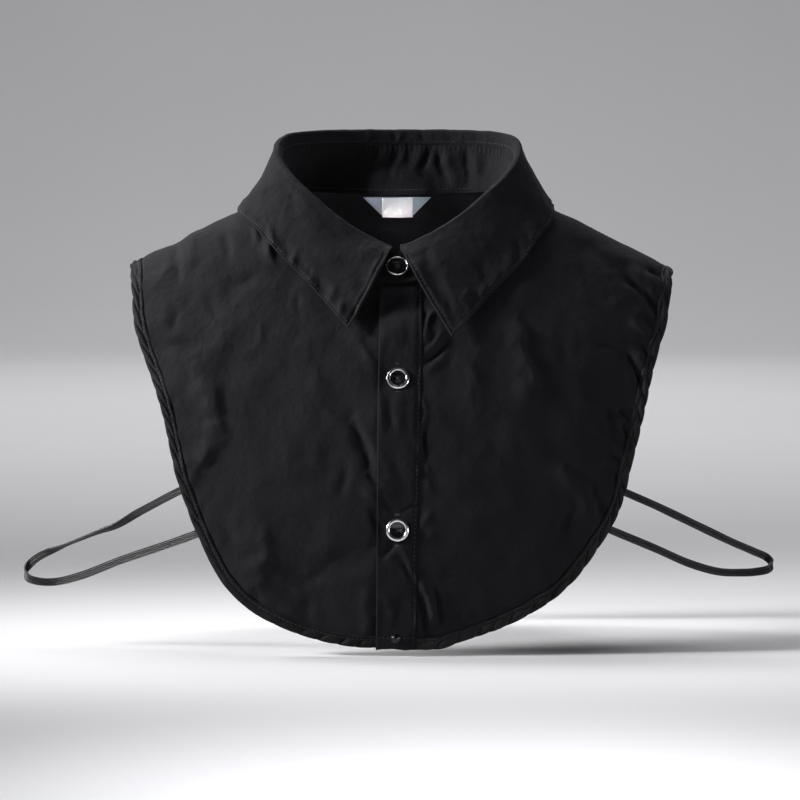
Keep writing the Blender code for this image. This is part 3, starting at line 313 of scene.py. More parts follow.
PLEATS_RIGHT = [
    (-155.8, -45.0, 0.8, 0.3), (-153.5, -58.7, 0.8, 0.3), (-150.8, -68.9, 0.6, 0.3),
    (-148.0, -80.0, 0.5, 0.3), (-145.5, -91.5, 0.8, 0.3), (-143.5, -101.6, 0.8, 0.3),
    (-141.0, -108.7, 0.6, 0.3), (-138.6, -120.0, 0.6, 0.3), (-136.5, -131.3, 1.0, 0.3),
    (-131.4, -146.1, 0.8, 0.35), (-125.3, -156.7, 0.8, 0.4), (-119.2, -172.7, 0.6, 0.4),
    (-110.0, -192.0, 0.25, 0.4), (-96.0, -211.0, 0.2, 0.5), (-78.0, -225.5, 0.3, 0.6),
    (-64.0, -231.0, 0.5, 0.8), (-52.1, -234.5, 0.8, 0.9), (-39.5, -238.0, 0.8, 0.9),
    (-28.1, -240.1, 0.8, 0.9), (-18.5, -241.2, 0.7, 0.9)]


# ------------------------------------------------------------------ helpers
def unit(v):
    return v / np.maximum(np.linalg.norm(v, axis=-1, keepdims=True), 1e-12)


def ease(t):
    t = np.clip(t, 0.0, 1.0)
    return t * t * (3 - 2 * t)


def bell(x, w):
    return np.exp(-(x / w) ** 2)


class Line:
    """A smooth line through table rows that never swings past them."""

    def __init__(self, xs, ys, level_start=False):
        self.x, self.y = np.array(xs, float), np.array(ys, float)
        n = len(self.x)
        h = np.diff(self.x)
        d = np.diff(self.y) / h
        m = np.zeros(n)
        m[0], m[-1] = (0.0 if level_start else d[0]), d[-1]
        for i in range(1, n - 1):
            if d[i - 1] * d[i] > 0:
                a, b = 2 * h[i] + h[i - 1], h[i] + 2 * h[i - 1]
                m[i] = (a + b) / (a / d[i - 1] + b / d[i])
        self.m, self.h = m, h

    def __call__(self, x):
        x = np.clip(np.asarray(x, float), self.x[0], self.x[-1])
        i = np.clip(np.searchsorted(self.x, x, side="right") - 1, 0, len(self.x) - 2)
        h = self.h[i]
        t = (x - self.x[i]) / h
        a, b = self.y[i], self.y[i + 1]
        return (a * (1 + 2 * t) * (1 - t) ** 2 + h * self.m[i] * t * (1 - t) ** 2
                + b * t * t * (3 - 2 * t) + h * self.m[i + 1] * t * t * (t - 1))


class Route:
    """A smooth path through points of any length, by its length fraction."""

    def __init__(self, points, samples=2400):
        p = np.array(points, float)
        step = np.sqrt(np.linalg.norm(np.diff(p, axis=0), axis=1))
        run = np.concatenate([[0.0], np.cumsum(step)])
        d = np.diff(p, axis=0) / step[:, None]
        tan = np.empty_like(p)
        tan[0], tan[-1] = d[0], d[-1]
        h0, h1 = step[:-1, None], step[1:, None]
        tan[1:-1] = (d[:-1] * h1 + d[1:] * h0) / (h0 + h1)
        t = np.linspace(0.0, run[-1], samples + 1)
        i = np.clip(np.searchsorted(run, t, side="right") - 1, 0, len(p) - 2)
        h = (run[i + 1] - run[i])[:, None]
        u = ((t - run[i]) / (run[i + 1] - run[i]))[:, None]
        self.points = (p[i] * ((1 + 2 * u) * (1 - u) ** 2) + tan[i] * (h * u * (1 - u) ** 2)
                       + p[i + 1] * (u * u * (3 - 2 * u)) + tan[i + 1] * (h * u * u * (u - 1)))
        self.run = np.concatenate([[0.0], np.cumsum(
            np.linalg.norm(np.diff(self.points, axis=0), axis=1))])

    def __call__(self, s):
        want = np.clip(np.asarray(s, float), 0.0, 1.0) * self.run[-1]
        return np.stack([np.interp(want, self.run, self.points[:, c]) for c in range(3)], -1)


class Noise:
    """Smooth random height from a seed, about -0.6 to 0.6."""

    def __init__(self, seed):
        r = np.random.RandomState(seed)
        self.perm = np.tile(r.permutation(256), 3)
        g = r.normal(size=(256, 3))
        self.grad = g / np.linalg.norm(g, axis=1, keepdims=True)

    def __call__(self, p, size):
        q = np.asarray(p, float) / np.asarray(size, float)
        i = np.floor(q).astype(int)
        f = q - i
        i &= 255
        u = f * f * f * (f * (f * 6 - 15) + 10)
        total = 0.0
        for dx in (0, 1):
            for dy in (0, 1):
                for dz in (0, 1):
                    k = self.perm[self.perm[self.perm[(i[..., 0] + dx) & 255]
                                            + ((i[..., 1] + dy) & 255)]
                                  + ((i[..., 2] + dz) & 255)]
                    g = self.grad[k]
                    away = f - np.array([dx, dy, dz])
                    w = ((u[..., 0] if dx else 1 - u[..., 0])
                         * (u[..., 1] if dy else 1 - u[..., 1])
                         * (u[..., 2] if dz else 1 - u[..., 2]))
                    total = total + w * np.sum(g * away, -1)
        return total


MOTTLE, DRAG, FINE = Noise(11), Noise(23), Noise(37)


def wave(a, size, seed):
    """Irregular waves along a seam, about -1 to 1."""
    a = np.asarray(a, float)
    p = np.stack([a, np.full_like(a, 3.7 * seed), np.full_like(a, 1.3 * seed)], -1)
    return 1.5 * (FINE(p, size) + 0.5 * FINE(p + 71.0, size * 0.55))


# ------------------------------------------------------------------ the form
_rows = sorted(FORM)
half_at = Line([r[0] for r in _rows], [r[1] for r in _rows])
front_at = Line([r[0] for r in _rows], [r[2] for r in _rows])
back_at = Line([r[0] for r in _rows], [r[3] for r in _rows])


def form(turn, z):
    turn, z = np.broadcast_arrays(np.asarray(turn, float), np.asarray(z, float))
    a = np.radians(turn)
    depth = np.where(np.cos(a) > 0, front_at(z), back_at(z))
    return np.stack([half_at(z) * np.sin(a), -depth * np.cos(a), z], -1)


def form_normal(turn, z):
    e = 0.05
    return unit(np.cross(form(turn + e, z) - form(turn - e, z),
                         form(turn, z + e) - form(turn, z - e)))


def turn_of(x, z, back=False):
    a = np.degrees(np.arcsin(np.clip(x / half_at(z), -1.0, 1.0)))
    return 180.0 - a if back else a


def creases(rows, x, z, gain=1.0):
    """Height of the listed creases, softened and bent by a little noise."""
    total = np.zeros_like(x)
    p = np.stack([x, 0 * x, z], -1)
    bend = MOTTLE(p + 7.0, (12.0, 12.0, 12.0)) * 3.2 + FINE(p + 3.0, (5.0, 5.0, 5.0)) * 0.9
    swell = 1 + 0.9 * MOTTLE(p + 77.0, (9.0, 9.0, 9.0))
    for x0, z0, x1, z1, bow, width, rise, skew in rows:
        lx, lz = x1 - x0, z1 - z0
        size = math.hypot(lx, lz)
        s = ((x - x0) * lx + (z - z0) * lz) / (size * size)
        off = ((x - x0) * lz - (z - z0) * lx) / size
        off = -off - bow * 4 * s * (1 - s) + bend * min(width / 5.0, 1.2) * min(size / 20.0, 1.0)
        soft = 0.28 + 0.5 * min(width / size, 0.4)
        ends = ease((s + soft * 0.6) / (soft * 1.6)) * ease((1 + soft * 0.6 - s) / (soft * 1.6))
        side = -off if lz < 0 else off
        wide = width * (0.8 + 0.35 * np.clip(np.abs(2 * s - 1), 0, 1.2) ** 2)
        wide = wide * np.where(side > 0, 1 + skew, 1 - skew)
        k = (off / wide) ** 2
        if rise > 0:
            shape = np.exp(-k)
        else:
            shape = 1.25 * np.exp(-k * 1.1) - 0.25 * np.exp(-k * 0.22)
        total += gain * rise * ends * shape * swell
    return total


def relief(p):
    """Height of the cloth's folds at points of the form."""
    x, y, z = p[..., 0], p[..., 1], p[..., 2]
    front = creases(FRONT_CREASES, x, z, 1.35) * (1 + 0.55 * ease((x - 105.0) / 25.0))
    back = creases(BACK_CREASES, x, z, 1.5)
    ahead = ease((3.0 - y) / 6.0)
    # every crease wanders a little, as the noise bends the cloth
    rough = (MOTTLE(p, (30.0, 40.0, 34.0)) * 1.7 + MOTTLE(p + 50.0, (15.0, 22.0, 17.0)) * 1.05
             + DRAG(p + 9.0, (8.0, 12.0, 9.5)) * 0.34 + FINE(p + 23.0, (4.6, 6.0, 5.2)) * 0.15)
    # a few long soft drags that run out and down from the neck
    fan = np.stack([np.arctan2(x, 60.0 - z) * 90.0, y * 0.2, (z + np.abs(x) * 0.4) * 0.16], -1)
    rough = rough + DRAG(fan, (11.0, 14.0, 12.0)) * 0.5
    # below the neck button the cloth dips under the collar, swells out again
    # and is drawn in at each button
    near = ease((-29.0 - z) / 5.0)
    middle = (-3.2 * bell(z + 38.5, 7.5) * bell(x, 25.0) * near
              + 1.7 * bell(z + 56.0, 8.5) * bell(x, 19.0) - 1.7 * bell(z + 82.0, 9.0) * bell(x, 17.0)
              + 0.9 * bell(z + 104.0, 14.0) * bell(x, 20.0) - 1.3 * bell(z + 160.0, 26.0) * bell(x, 18.0)
              + 0.8 * bell(z + 222.0, 16.0) * bell(x, 22.0))
    return ahead * (front + middle) + (1 - ahead) * back + rough


neck_z = Line([r[0] for r in NECK], [r[1] for r in NECK], level_start=True)
fold_z = Line([r[0] for r in FOLD], [r[1] for r in FOLD], level_start=True)
fold_in = Line([r[0] for r in FOLD], [r[2] for r in FOLD])


def fold_angle(turn):
    return np.abs((np.asarray(turn, float) + 180.0) % 360.0 - 180.0)


def neck_place(turn):
    turn = np.asarray(turn, float)
    t = fold_angle(turn)
    z = neck_z(t)
    x = NECK_HALF * np.sin(np.radians(t))
    place = np.where(t > 90.0, turn_of(x, z, True), turn_of(x, z))
    side = np.where((turn + 180.0) % 360.0 - 180.0 < 0, -1.0, 1.0)
    return side * place, z


def neck_point(turn):
    place, z = neck_place(turn)
    return form(place, z) + form_normal(place, z) * (WALL / 2)


def fold_depth(turn):
    return np.where(np.cos(np.radians(turn)) > 0, FOLD_FRONT, FOLD_BACK)


def fold_point(turn):
    a = np.radians(turn)
    z = fold_z(fold_angle(turn)) - ROLL - LEAF_WALL / 2
    return np.stack([FOLD_HALF * np.sin(a), -fold_depth(turn) * np.cos(a), z], -1)


def lap(turn):
    turn = np.asarray(turn, float)
    return np.where(turn > 200.0, 0.0, LAP * (1.0 - ease((turn - 16.0) / 26.0)))


def stand_frame(turn):
    turn = np.asarray(turn, float)
    foot, top = neck_point(turn), fold_point(turn)
    a = np.radians(turn)
    ahead = np.stack([FOLD_HALF * np.cos(a), fold_depth(turn) * np.sin(a), 0 * a], -1)
    up = unit(top - foot)
    return foot, top, up, unit(np.cross(ahead, up))


# ------------------------------------------------------------------ meshes
PIECES = []


def mesh_object(name, points, quads, mat, tris=None, sharp=None, flip=None):
    """A mesh piece from arrays; closed ones are turned to face outwards."""
    quads = np.asarray(quads, int).reshape(-1, 4)
    tris = np.zeros((0, 3), int) if tris is None else np.asarray(tris, int).reshape(-1, 3)
    points = np.asarray(points, float).reshape(-1, 3)
    if flip is None:
        volume = 0.0
        if len(quads):
            a, b, c, d = (points[quads[:, k]] for k in range(4))
            volume += np.sum(np.cross(a, b) * c) + np.sum(np.cross(a, c) * d)
        if len(tris):
            a, b, c = (points[tris[:, k]] for k in range(3))
            volume += np.sum(np.cross(a, b) * c)
        flip = volume < 0
    if flip:
        quads, tris = quads[:, ::-1], tris[:, ::-1]
    me = bpy.data.meshes.new(name)
    me.vertices.add(len(points))
    me.vertices.foreach_set("co", (points * MM).astype(np.float32).ravel())
    loops = np.concatenate([quads.ravel(), tris.ravel()])
    me.loops.add(len(loops))
    me.loops.foreach_set("vertex_index", loops.astype(np.int32))
    starts = np.concatenate([np.arange(len(quads)) * 4,
                             len(quads) * 4 + np.arange(len(tris)) * 3])
    me.polygons.add(len(starts))
    me.polygons.foreach_set("loop_start", starts.astype(np.int32))
    me.update(calc_edges=True)
    me.validate()
    me.materials.append(mat)
    me.shade_smooth()
    if sharp:
        me.set_sharp_from_angle(angle=math.radians(sharp))
    obj = bpy.data.objects.new(name, me)
    bpy.context.scene.collection.objects.link(obj)
    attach(obj, "root")
    PIECES.append(obj)
    return obj


def grid_quads(nu, nv, base=0, wrap_u=False, wrap_v=False):
    i = np.arange(nu if wrap_u else nu - 1)
    j = np.arange(nv if wrap_v else nv - 1)
    i, j = np.meshgrid(i, j, indexing="ij")
    i, j = i.ravel(), j.ravel()
    i2, j2 = (i + 1) % nu, (j + 1) % nv
    return base + np.stack([i * nv + j, i2 * nv + j, i2 * nv + j2, i * nv + j2], -1)


def shell(name, inner, outer, mat, sharp=None):
    """A closed wall between two grids of points."""
    nu, nv = inner.shape[:2]
    n = nu * nv
    quads = [grid_quads(nu, nv, n), grid_quads(nu, nv, 0)[:, ::-1]]
    at = np.arange(n).reshape(nu, nv)
    for line, turn in ((at[:, 0], False), (at[:, -1], True), (at[0], True), (at[-1], False)):
        a, b = line[:-1], line[1:]
        q = np.stack([a, b, b + n, a + n], -1)
        quads.append(q[:, ::-1] if turn else q)
    points = np.concatenate([inner.reshape(-1, 3), outer.reshape(-1, 3)])
    return mesh_object(name, points, np.concatenate(quads), mat, sharp=sharp)


def surface_normals(p):
    du, dv = np.gradient(p, axis=0), np.gradient(p, axis=1)
    return unit(np.cross(du, dv))


def tube(name, rings, mat, closed=False, sharp=None):
    """A closed bar through equal rings of points; its ends are capped."""
    k, n = rings.shape[:2]
    points = rings.reshape(-1, 3)
    quads = grid_quads(k, n, 0, wrap_u=closed, wrap_v=True)
    tris = []
    if not closed:
        first, last = rings[0].mean(0), rings[-1].mean(0)
        base = len(points)
        points = np.concatenate([points, [first], [last]])
        i = np.arange(n)
        j = (i + 1) % n
        tris = np.concatenate([np.stack([np.full(n, base), i, j], -1),
                               np.stack([np.full(n, base + 1), (k - 1) * n + j,
                                         (k - 1) * n + i], -1)])
    return mesh_object(name, points, quads, mat, tris=tris, sharp=sharp)


def even_along(points, pitch, start=0.0, stop=None):
    """Places `pitch` apart along a line of points, and the way along it."""
    run = np.concatenate([[0.0], np.cumsum(np.linalg.norm(np.diff(points, axis=0), axis=1))])
    stop = run[-1] if stop is None else min(stop, run[-1])
    count = max(int((stop - start) / pitch), 1)
    a = start + (np.arange(count) + 0.5) * (stop - start) / count
    return a, run


def stitches(name, runs, mat):
    """Rows of sewn thread. Each run is points, the way out, pitch, length and
    thickness; every stitch is a short thread that dives in at both ends."""
    all_points, all_quads, base = [], [], 0
    rng = np.random.RandomState(len(name) * 7 + 5)
    for points, out, pitch, length, thick in runs:
        a, run = even_along(points, pitch)
        a = a + rng.uniform(-0.06, 0.06, len(a)) * pitch
        k = len(a)

        def at(v, places):
            return np.stack([np.interp(places, run, v[:, c]) for c in range(3)], -1)
        rows = []
        for f, lift, fat in ((-0.5, -0.55, 0.55), (-0.32, 0.1, 0.95), (0.0, 0.38, 1.1),
                             (0.32, 0.1, 0.95), (0.5, -0.55, 0.55)):
            p = at(points, a + f * length)
            n = unit(at(out, a))
            t = unit(at(points, a + 0.3) - at(points, a - 0.3))
            b = unit(np.cross(n, t))
            p = p + n * (lift * thick)[..., None] if np.ndim(lift) else p + n * (lift * thick)
            ring = []
            for g in range(5):
                ang = 2 * math.pi * g / 5
                ring.append(p + (b * math.cos(ang) + n * math.sin(ang) * 0.8) * (fat * thick / 2))
            rows.append(np.stack(ring, 1))
        cloud = np.stack(rows, 1)                       # stitch, row, ring, 3
        quads = grid_quads(5, 5, 0, wrap_v=True)
        caps = np.array([[0, 1, 2, 3], [0, 3, 4, 4], [20, 23, 22, 21], [20, 24, 24, 23]])
        tri = np.array([[0, 3, 4], [20, 24, 23]])
        quads = np.concatenate([quads, caps[[0, 2]]])
        off = base + np.arange(k)[:, None, None] * 25
        all_quads.append((quads[None] + off).reshape(-1, 4))
        all_points.append((cloud.reshape(-1, 3), (tri[None] + off).reshape(-1, 3)))
        base += k * 25
    points = np.concatenate([p for p, _ in all_points])
    tris = np.concatenate([t for _, t in all_points])
    obj = mesh_object(name, points, np.concatenate(all_quads), mat, tris=tris)
    return obj


def clustered(length, count, ends=(True, True), near=(0.0, 0.07, 0.2, 0.42, 0.7, 1.05)):
    """Distances 0 to length, with extra ones close to the named ends."""
    marks = np.linspace(0.0, length, count + 1)
    extra = []
    if ends[0]:
        extra += list(near)
    if ends[1]:
        extra += [length - v for v in near]
    keep = [m for m in marks if (not ends[0] or m > 1.3) and (not ends[1] or m < length - 1.3)]
    if not ends[0]:
        keep = [0.0] + [m for m in keep if m > 0]
    if not ends[1]:
        keep = [m for m in keep if m < length] + [length]
    return np.array(sorted(set(extra + keep)))


def rounding(d, radius):
    """Share of a wall's thickness at a distance from its edge."""
    k = np.clip(d / radius, 0.0, 1.0)
    return np.maximum(np.sqrt(np.clip(1 - (1 - k) ** 2, 0, 1)), 0.10)


# ------------------------------------------------------------------ materials
def cloth_material(name, colour, roughness=0.78, specular=0.22, sheen=0.25,
                   weave=0.00042, vary=0.22, bump=0.35, slub=0.5, crinkled=0.9):
    m = bpy.data.materials.new(name)
    m.use_nodes = True
    m.diffuse_color = (*colour, 1.0)
    nt = m.node_tree
    nodes, links = nt.nodes, nt.links
    shader = nodes["Principled BSDF"]
    shader.inputs["Specular IOR Level"].default_value = specular
    shader.inputs["Sheen Weight"].default_value = sheen
    shader.inputs["Sheen Roughness"].default_value = 0.45
    shader.inputs["Sheen Tint"].default_value = (0.80, 0.82, 0.90, 1.0)
    place = nodes.new("ShaderNodeTexCoord")

    def wave_node(direction, size, distortion=0.6):
        w = nodes.new("ShaderNodeTexWave")
        w.wave_type = "BANDS"
        w.bands_direction = direction
        w.inputs["Scale"].default_value = 2 * math.pi / (20.0 * size)
        w.inputs["Distortion"].default_value = distortion
        w.inputs["Detail"].default_value = 2.0
        w.inputs["Detail Scale"].default_value = 1.6
        links.new(place.outputs["Object"], w.inputs["Vector"])
        return w

    def noise_node(size, detail=2.0, rough=0.55):
        n = nodes.new("ShaderNodeTexNoise")
        n.inputs["Scale"].default_value = 1.0 / size
        n.inputs["Detail"].default_value = detail
        n.inputs["Roughness"].default_value = rough
        links.new(place.outputs["Object"], n.inputs["Vector"])
        return n

    def maths(op, a, b=None, value=None):
        n = nodes.new("ShaderNodeMath")
        n.operation = op
        links.new(a, n.inputs[0])
        if b is not None:
            links.new(b, n.inputs[1])
        elif value is not None:
            n.inputs[1].default_value = value
        return n.outputs[0]

    warp, weft = wave_node("X", weave), wave_node("Z", weave * 1.08)
    threads = maths("MULTIPLY", warp.outputs["Fac"], weft.outputs["Fac"])
    lumps = noise_node(0.0011, 3.0, 0.6)
    patches = noise_node(0.022, 3.0, 0.6)
    nap = noise_node(0.00035, 2.0, 0.7)

    mix = nodes.new("ShaderNodeMix")
    mix.data_type = "RGBA"
    dark = tuple(c * (1 - vary) for c in colour)
    light = tuple(c * (1 + vary * 1.5) for c in colour)
    mix.inputs["A"].default_value = (*dark, 1.0)
    mix.inputs["B"].default_value = (*light, 1.0)
    shade = maths("ADD", maths("MULTIPLY", patches.outputs["Fac"], value=0.55),
                  maths("MULTIPLY", threads, value=0.22))
    shade = maths("ADD", shade, maths("MULTIPLY", nap.outputs["Fac"], value=0.35))
    links.new(shade, mix.inputs["Factor"])
    links.new(mix.outputs["Result"], shader.inputs["Base Color"])

    rough = nodes.new("ShaderNodeMapRange")
    rough.inputs["To Min"].default_value = roughness - 0.08
    rough.inputs["To Max"].default_value = roughness + 0.10
    links.new(lumps.outputs["Fac"], rough.inputs["Value"])
    links.new(rough.outputs["Result"], shader.inputs["Roughness"])

    height = maths("ADD", maths("MULTIPLY", threads, value=1.0),
                   maths("MULTIPLY", nap.outputs["Fac"], value=0.6))
    height = maths("ADD", height, maths("MULTIPLY", lumps.outputs["Fac"], value=slub * 2.0))
    crinkle = noise_node(0.0034, 3.0, 0.6)
    c = nodes.new("ShaderNodeBump")
    c.inputs["Strength"].default_value = crinkled
    c.inputs["Distance"].default_value = 0.0006
    links.new(crinkle.outputs["Fac"], c.inputs["Height"])
    b = nodes.new("ShaderNodeBump")
    b.inputs["Strength"].default_value = bump
    b.inputs["Distance"].default_value = 0.00012
    links.new(height, b.inputs["Height"])
    links.new(c.outputs["Normal"], b.inputs["Normal"])
    links.new(b.outputs["Normal"], shader.inputs["Normal"])
    return m


def hard_material(name, colour, roughness, metallic=0.0, coat=0.0, scuff=0.04, grain=0.0009,
                  bump=0.05):
    m = bpy.data.materials.new(name)
    m.use_nodes = True
    m.diffuse_color = (*colour, 1.0)
    nodes, links = m.node_tree.nodes, m.node_tree.links
    shader = nodes["Principled BSDF"]
    shader.inputs["Metallic"].default_value = metallic
    shader.inputs["Coat Weight"].default_value = coat
    shader.inputs["Coat Roughness"].default_value = 0.05
    place = nodes.new("ShaderNodeTexCoord")
    n = nodes.new("ShaderNodeTexNoise")
    n.inputs["Scale"].default_value = 1.0 / grain
    n.inputs["Detail"].default_value = 4.0
    links.new(place.outputs["Object"], n.inputs["Vector"])
    mix = nodes.new("ShaderNodeMix")
    mix.data_type = "RGBA"
    mix.inputs["A"].default_value = (*[c * 0.82 for c in colour], 1.0)
    mix.inputs["B"].default_value = (*[min(c * 1.12, 1.0) for c in colour], 1.0)
    links.new(n.outputs["Fac"], mix.inputs["Factor"])
    links.new(mix.outputs["Result"], shader.inputs["Base Color"])
    r = nodes.new("ShaderNodeMapRange")
    r.inputs["To Min"].default_value = max(roughness - scuff, 0.02)
    r.inputs["To Max"].default_value = roughness + scuff * 2
    links.new(n.outputs["Fac"], r.inputs["Value"])
    links.new(r.outputs["Result"], shader.inputs["Roughness"])
    b = nodes.new("ShaderNodeBump")
    b.inputs["Strength"].default_value = bump
    b.inputs["Distance"].default_value = 0.0001
    links.new(n.outputs["Fac"], b.inputs["Height"])
    links.new(b.outputs["Normal"], shader.inputs["Normal"])
    return m


COTTON = cloth_material("black_shirting", (0.0086, 0.0084, 0.0100), specular=0.075, sheen=0.07)
# a darker copy of the same black shirting for the front band: painted shade
BAND_COTTON_PAINTED_SHADE = cloth_material("black_shirting_band_painted_shade", (0.0068, 0.0067, 0.0079), specular=0.075, sheen=0.07)
COLLAR = cloth_material("black_shirting_collar", (0.0082, 0.0080, 0.0094), roughness=0.76,
                        specular=0.075, sheen=0.07, crinkled=1.0)
BIAS = cloth_material("black_bias_strip", (0.0105, 0.0105, 0.0115), roughness=0.60,
                      specular=0.09, sheen=0.05, weave=0.00034, crinkled=0.3)
THREAD = cloth_material("black_thread", (0.022, 0.022, 0.025), roughness=0.45,
                        specular=0.4, sheen=0.1, weave=0.00022, bump=0.2, crinkled=0.0)
# a darker copy of the bias strip cloth for the strip on the wearer's right: painted shade, as that side faces
# the key lamp
BIAS_PAINTED_SHADE = cloth_material("black_bias_strip_painted_shade", (0.0052, 0.0052, 0.0060), roughness=0.60,
                           specular=0.09, sheen=0.04, weave=0.00036, vary=0.2, bump=0.4, crinkled=0.6)
ELASTIC = cloth_material("black_elastic_rib", (0.0100, 0.0100, 0.0112), roughness=0.42,
                         specular=0.42, sheen=0.16, weave=0.00036, bump=0.5, crinkled=0.1)
METAL = hard_material("bright_metal", (0.86, 0.86, 0.88), 0.16, metallic=1.0)
GLOSS = hard_material("black_gloss", (0.006, 0.006, 0.008), 0.12, coat=0.6, scuff=0.03)
SNAP_METAL = hard_material("dark_nickel", (0.040, 0.040, 0.045), 0.24, metallic=1.0)
LABEL_GREY = cloth_material("label_grey_satin", (0.42, 0.47, 0.56), roughness=0.6,
                            specular=0.3, sheen=0.1, weave=0.00030, vary=0.06)
LABEL_WHITE = cloth_material("label_white_satin", (0.88, 0.89, 0.92), roughness=0.6,
                             specular=0.3, sheen=0.1, weave=0.00030, vary=0.04)


# ------------------------------------------------------------------ the bib
def edge_path(rows, sign, shoulder_z, back=False):
    places = [(float(turn_of(x, z, back)), z) for x, z in rows]
    if back:
        places += [(SHOULDER_TURN + 14.0, shoulder_z - 7.4), (SHOULDER_TURN, shoulder_z - 1.6)]
    else:
        up = 0.6 if sign > 0 else 0.0
        places += [(70.5, shoulder_z - 5.8 + up), (79.8, shoulder_z - 2.0 + up),
                   (90.0, shoulder_z - 0.2 + up), (SHOULDER_TURN, shoulder_z - 1.6)]
    path = Route([(sign * t * 1.6, z, 0.0) for t, z in places])

    def at(s):
        p = path(s)
        return p[..., 0] / 1.6, p[..., 1]
    return at


def evened(path, start=0.0, stop=1.0):
    """Turns a share of the path's length on the form into its parameter."""
    fine = np.linspace(start, stop, 1601)
    p = form(*path(fine))
    run = np.concatenate([[0.0], np.cumsum(np.linalg.norm(np.diff(p, axis=0), axis=1))])

    def at(s):
        return np.interp(s, run / run[-1], fine)
    at.length = run[-1]
    return at


def inset_place(path, s, sign, width):
    """The place `width` in from the bib's outer edge."""
    s = np.asarray(s, float)
    t, z = path(s)
    e = 0.004
    ta, za = path(np.maximum(s - e, 0.0))
    tb, zb = path(np.minimum(s + e, 1.0))
    along = unit(form(tb, zb) - form(ta, za))
    out = form_normal(t, z)
    inward = unit(np.cross(out, along)) * sign
    e = 0.05
    by_turn = (form(t + e, z) - form(t - e, z)) / (2 * e)
    by_z = (form(t, z + e) - form(t, z - e)) / (2 * e)
    aa, bb, ab = (by_turn ** 2).sum(-1), (by_z ** 2).sum(-1), (by_turn * by_z).sum(-1)
    pa, pb = (by_turn * inward).sum(-1) * width, (by_z * inward).sum(-1) * width
    det = aa * bb - ab * ab
    return t + (pa * bb - pb * ab) / det, z + (pb * aa - pa * ab) / det


def neck_turn_at_shoulder():
    lo, hi = 90.0, 125.0
    for _ in range(40):
        mid = (lo + hi) / 2
        if neck_place(mid)[0] < SHOULDER_TURN:
            lo = mid
        else:
            hi = mid
    return (lo + hi) / 2


SHOULDER_NECK = neck_turn_at_shoulder()


def coons(inner, outer, first, last, s, r):
    """Places inside four edges, given as arrays of (turn, height)."""
    out = []
    for c in (0, 1):
        a, b = inner[c][:, None], outer[c][:, None]
        f, g = first[c][None, :], last[c][None, :]
        ss, rr = s[:, None], r[None, :]
        ruled = (1 - rr) * a + rr * b
        corner = ((1 - ss) * ((1 - rr) * inner[c][0] + rr * outer[c][0])
                  + ss * ((1 - rr) * inner[c][-1] + rr * outer[c][-1]))
        out.append(ruled + (1 - ss) * f + ss * g - corner)
    return out


def grown(p, axis):
    """Running length of a grid of points along one of its ways."""
    d = np.linalg.norm(np.diff(p, axis=axis), axis=-1)
    z = np.zeros_like(np.take(d, [0], axis=axis))
    return np.concatenate([z, np.cumsum(d, axis=axis)], axis=axis)


PANEL_INSET = 4.0


def shoulder_place(path, sign):
    """Where the shoulder seam meets the panels' edge, under the strip."""
    low = float(path(np.array([1.0]))[1][0])
    z = np.linspace(low, low + 12.0, 241)
    p = form(np.full_like(z, sign * SHOULDER_TURN), z)
    run = np.concatenate([[0.0], np.cumsum(np.linalg.norm(np.diff(p, axis=0), axis=1))])
    return sign * SHOULDER_TURN, float(np.interp(PANEL_INSET, run, z))


def edge_puckers(along, inside, seed, gain=1.0):
    """Small creases that run in from the binding's seam."""
    lip = BIND_WIDTH - PANEL_INSET
    d = inside - lip
    grow = ease((d + 0.4) / 3.5)
    a = along + 0.35 * d
    short = wave(a, 9.0, seed) * np.exp(-np.clip(d, 0, None) / 8.0) * 0.75
    long_ = wave(a * 0.8 + 13, 17.0, seed + 1) * np.exp(-np.clip(d, 0, None) / 20.0) * 0.6
    gap = -0.45 * bell(d - 0.6, 1.6)
    return gain * grow * (short + long_) + gap * ease((d + 1.5) / 1.5)


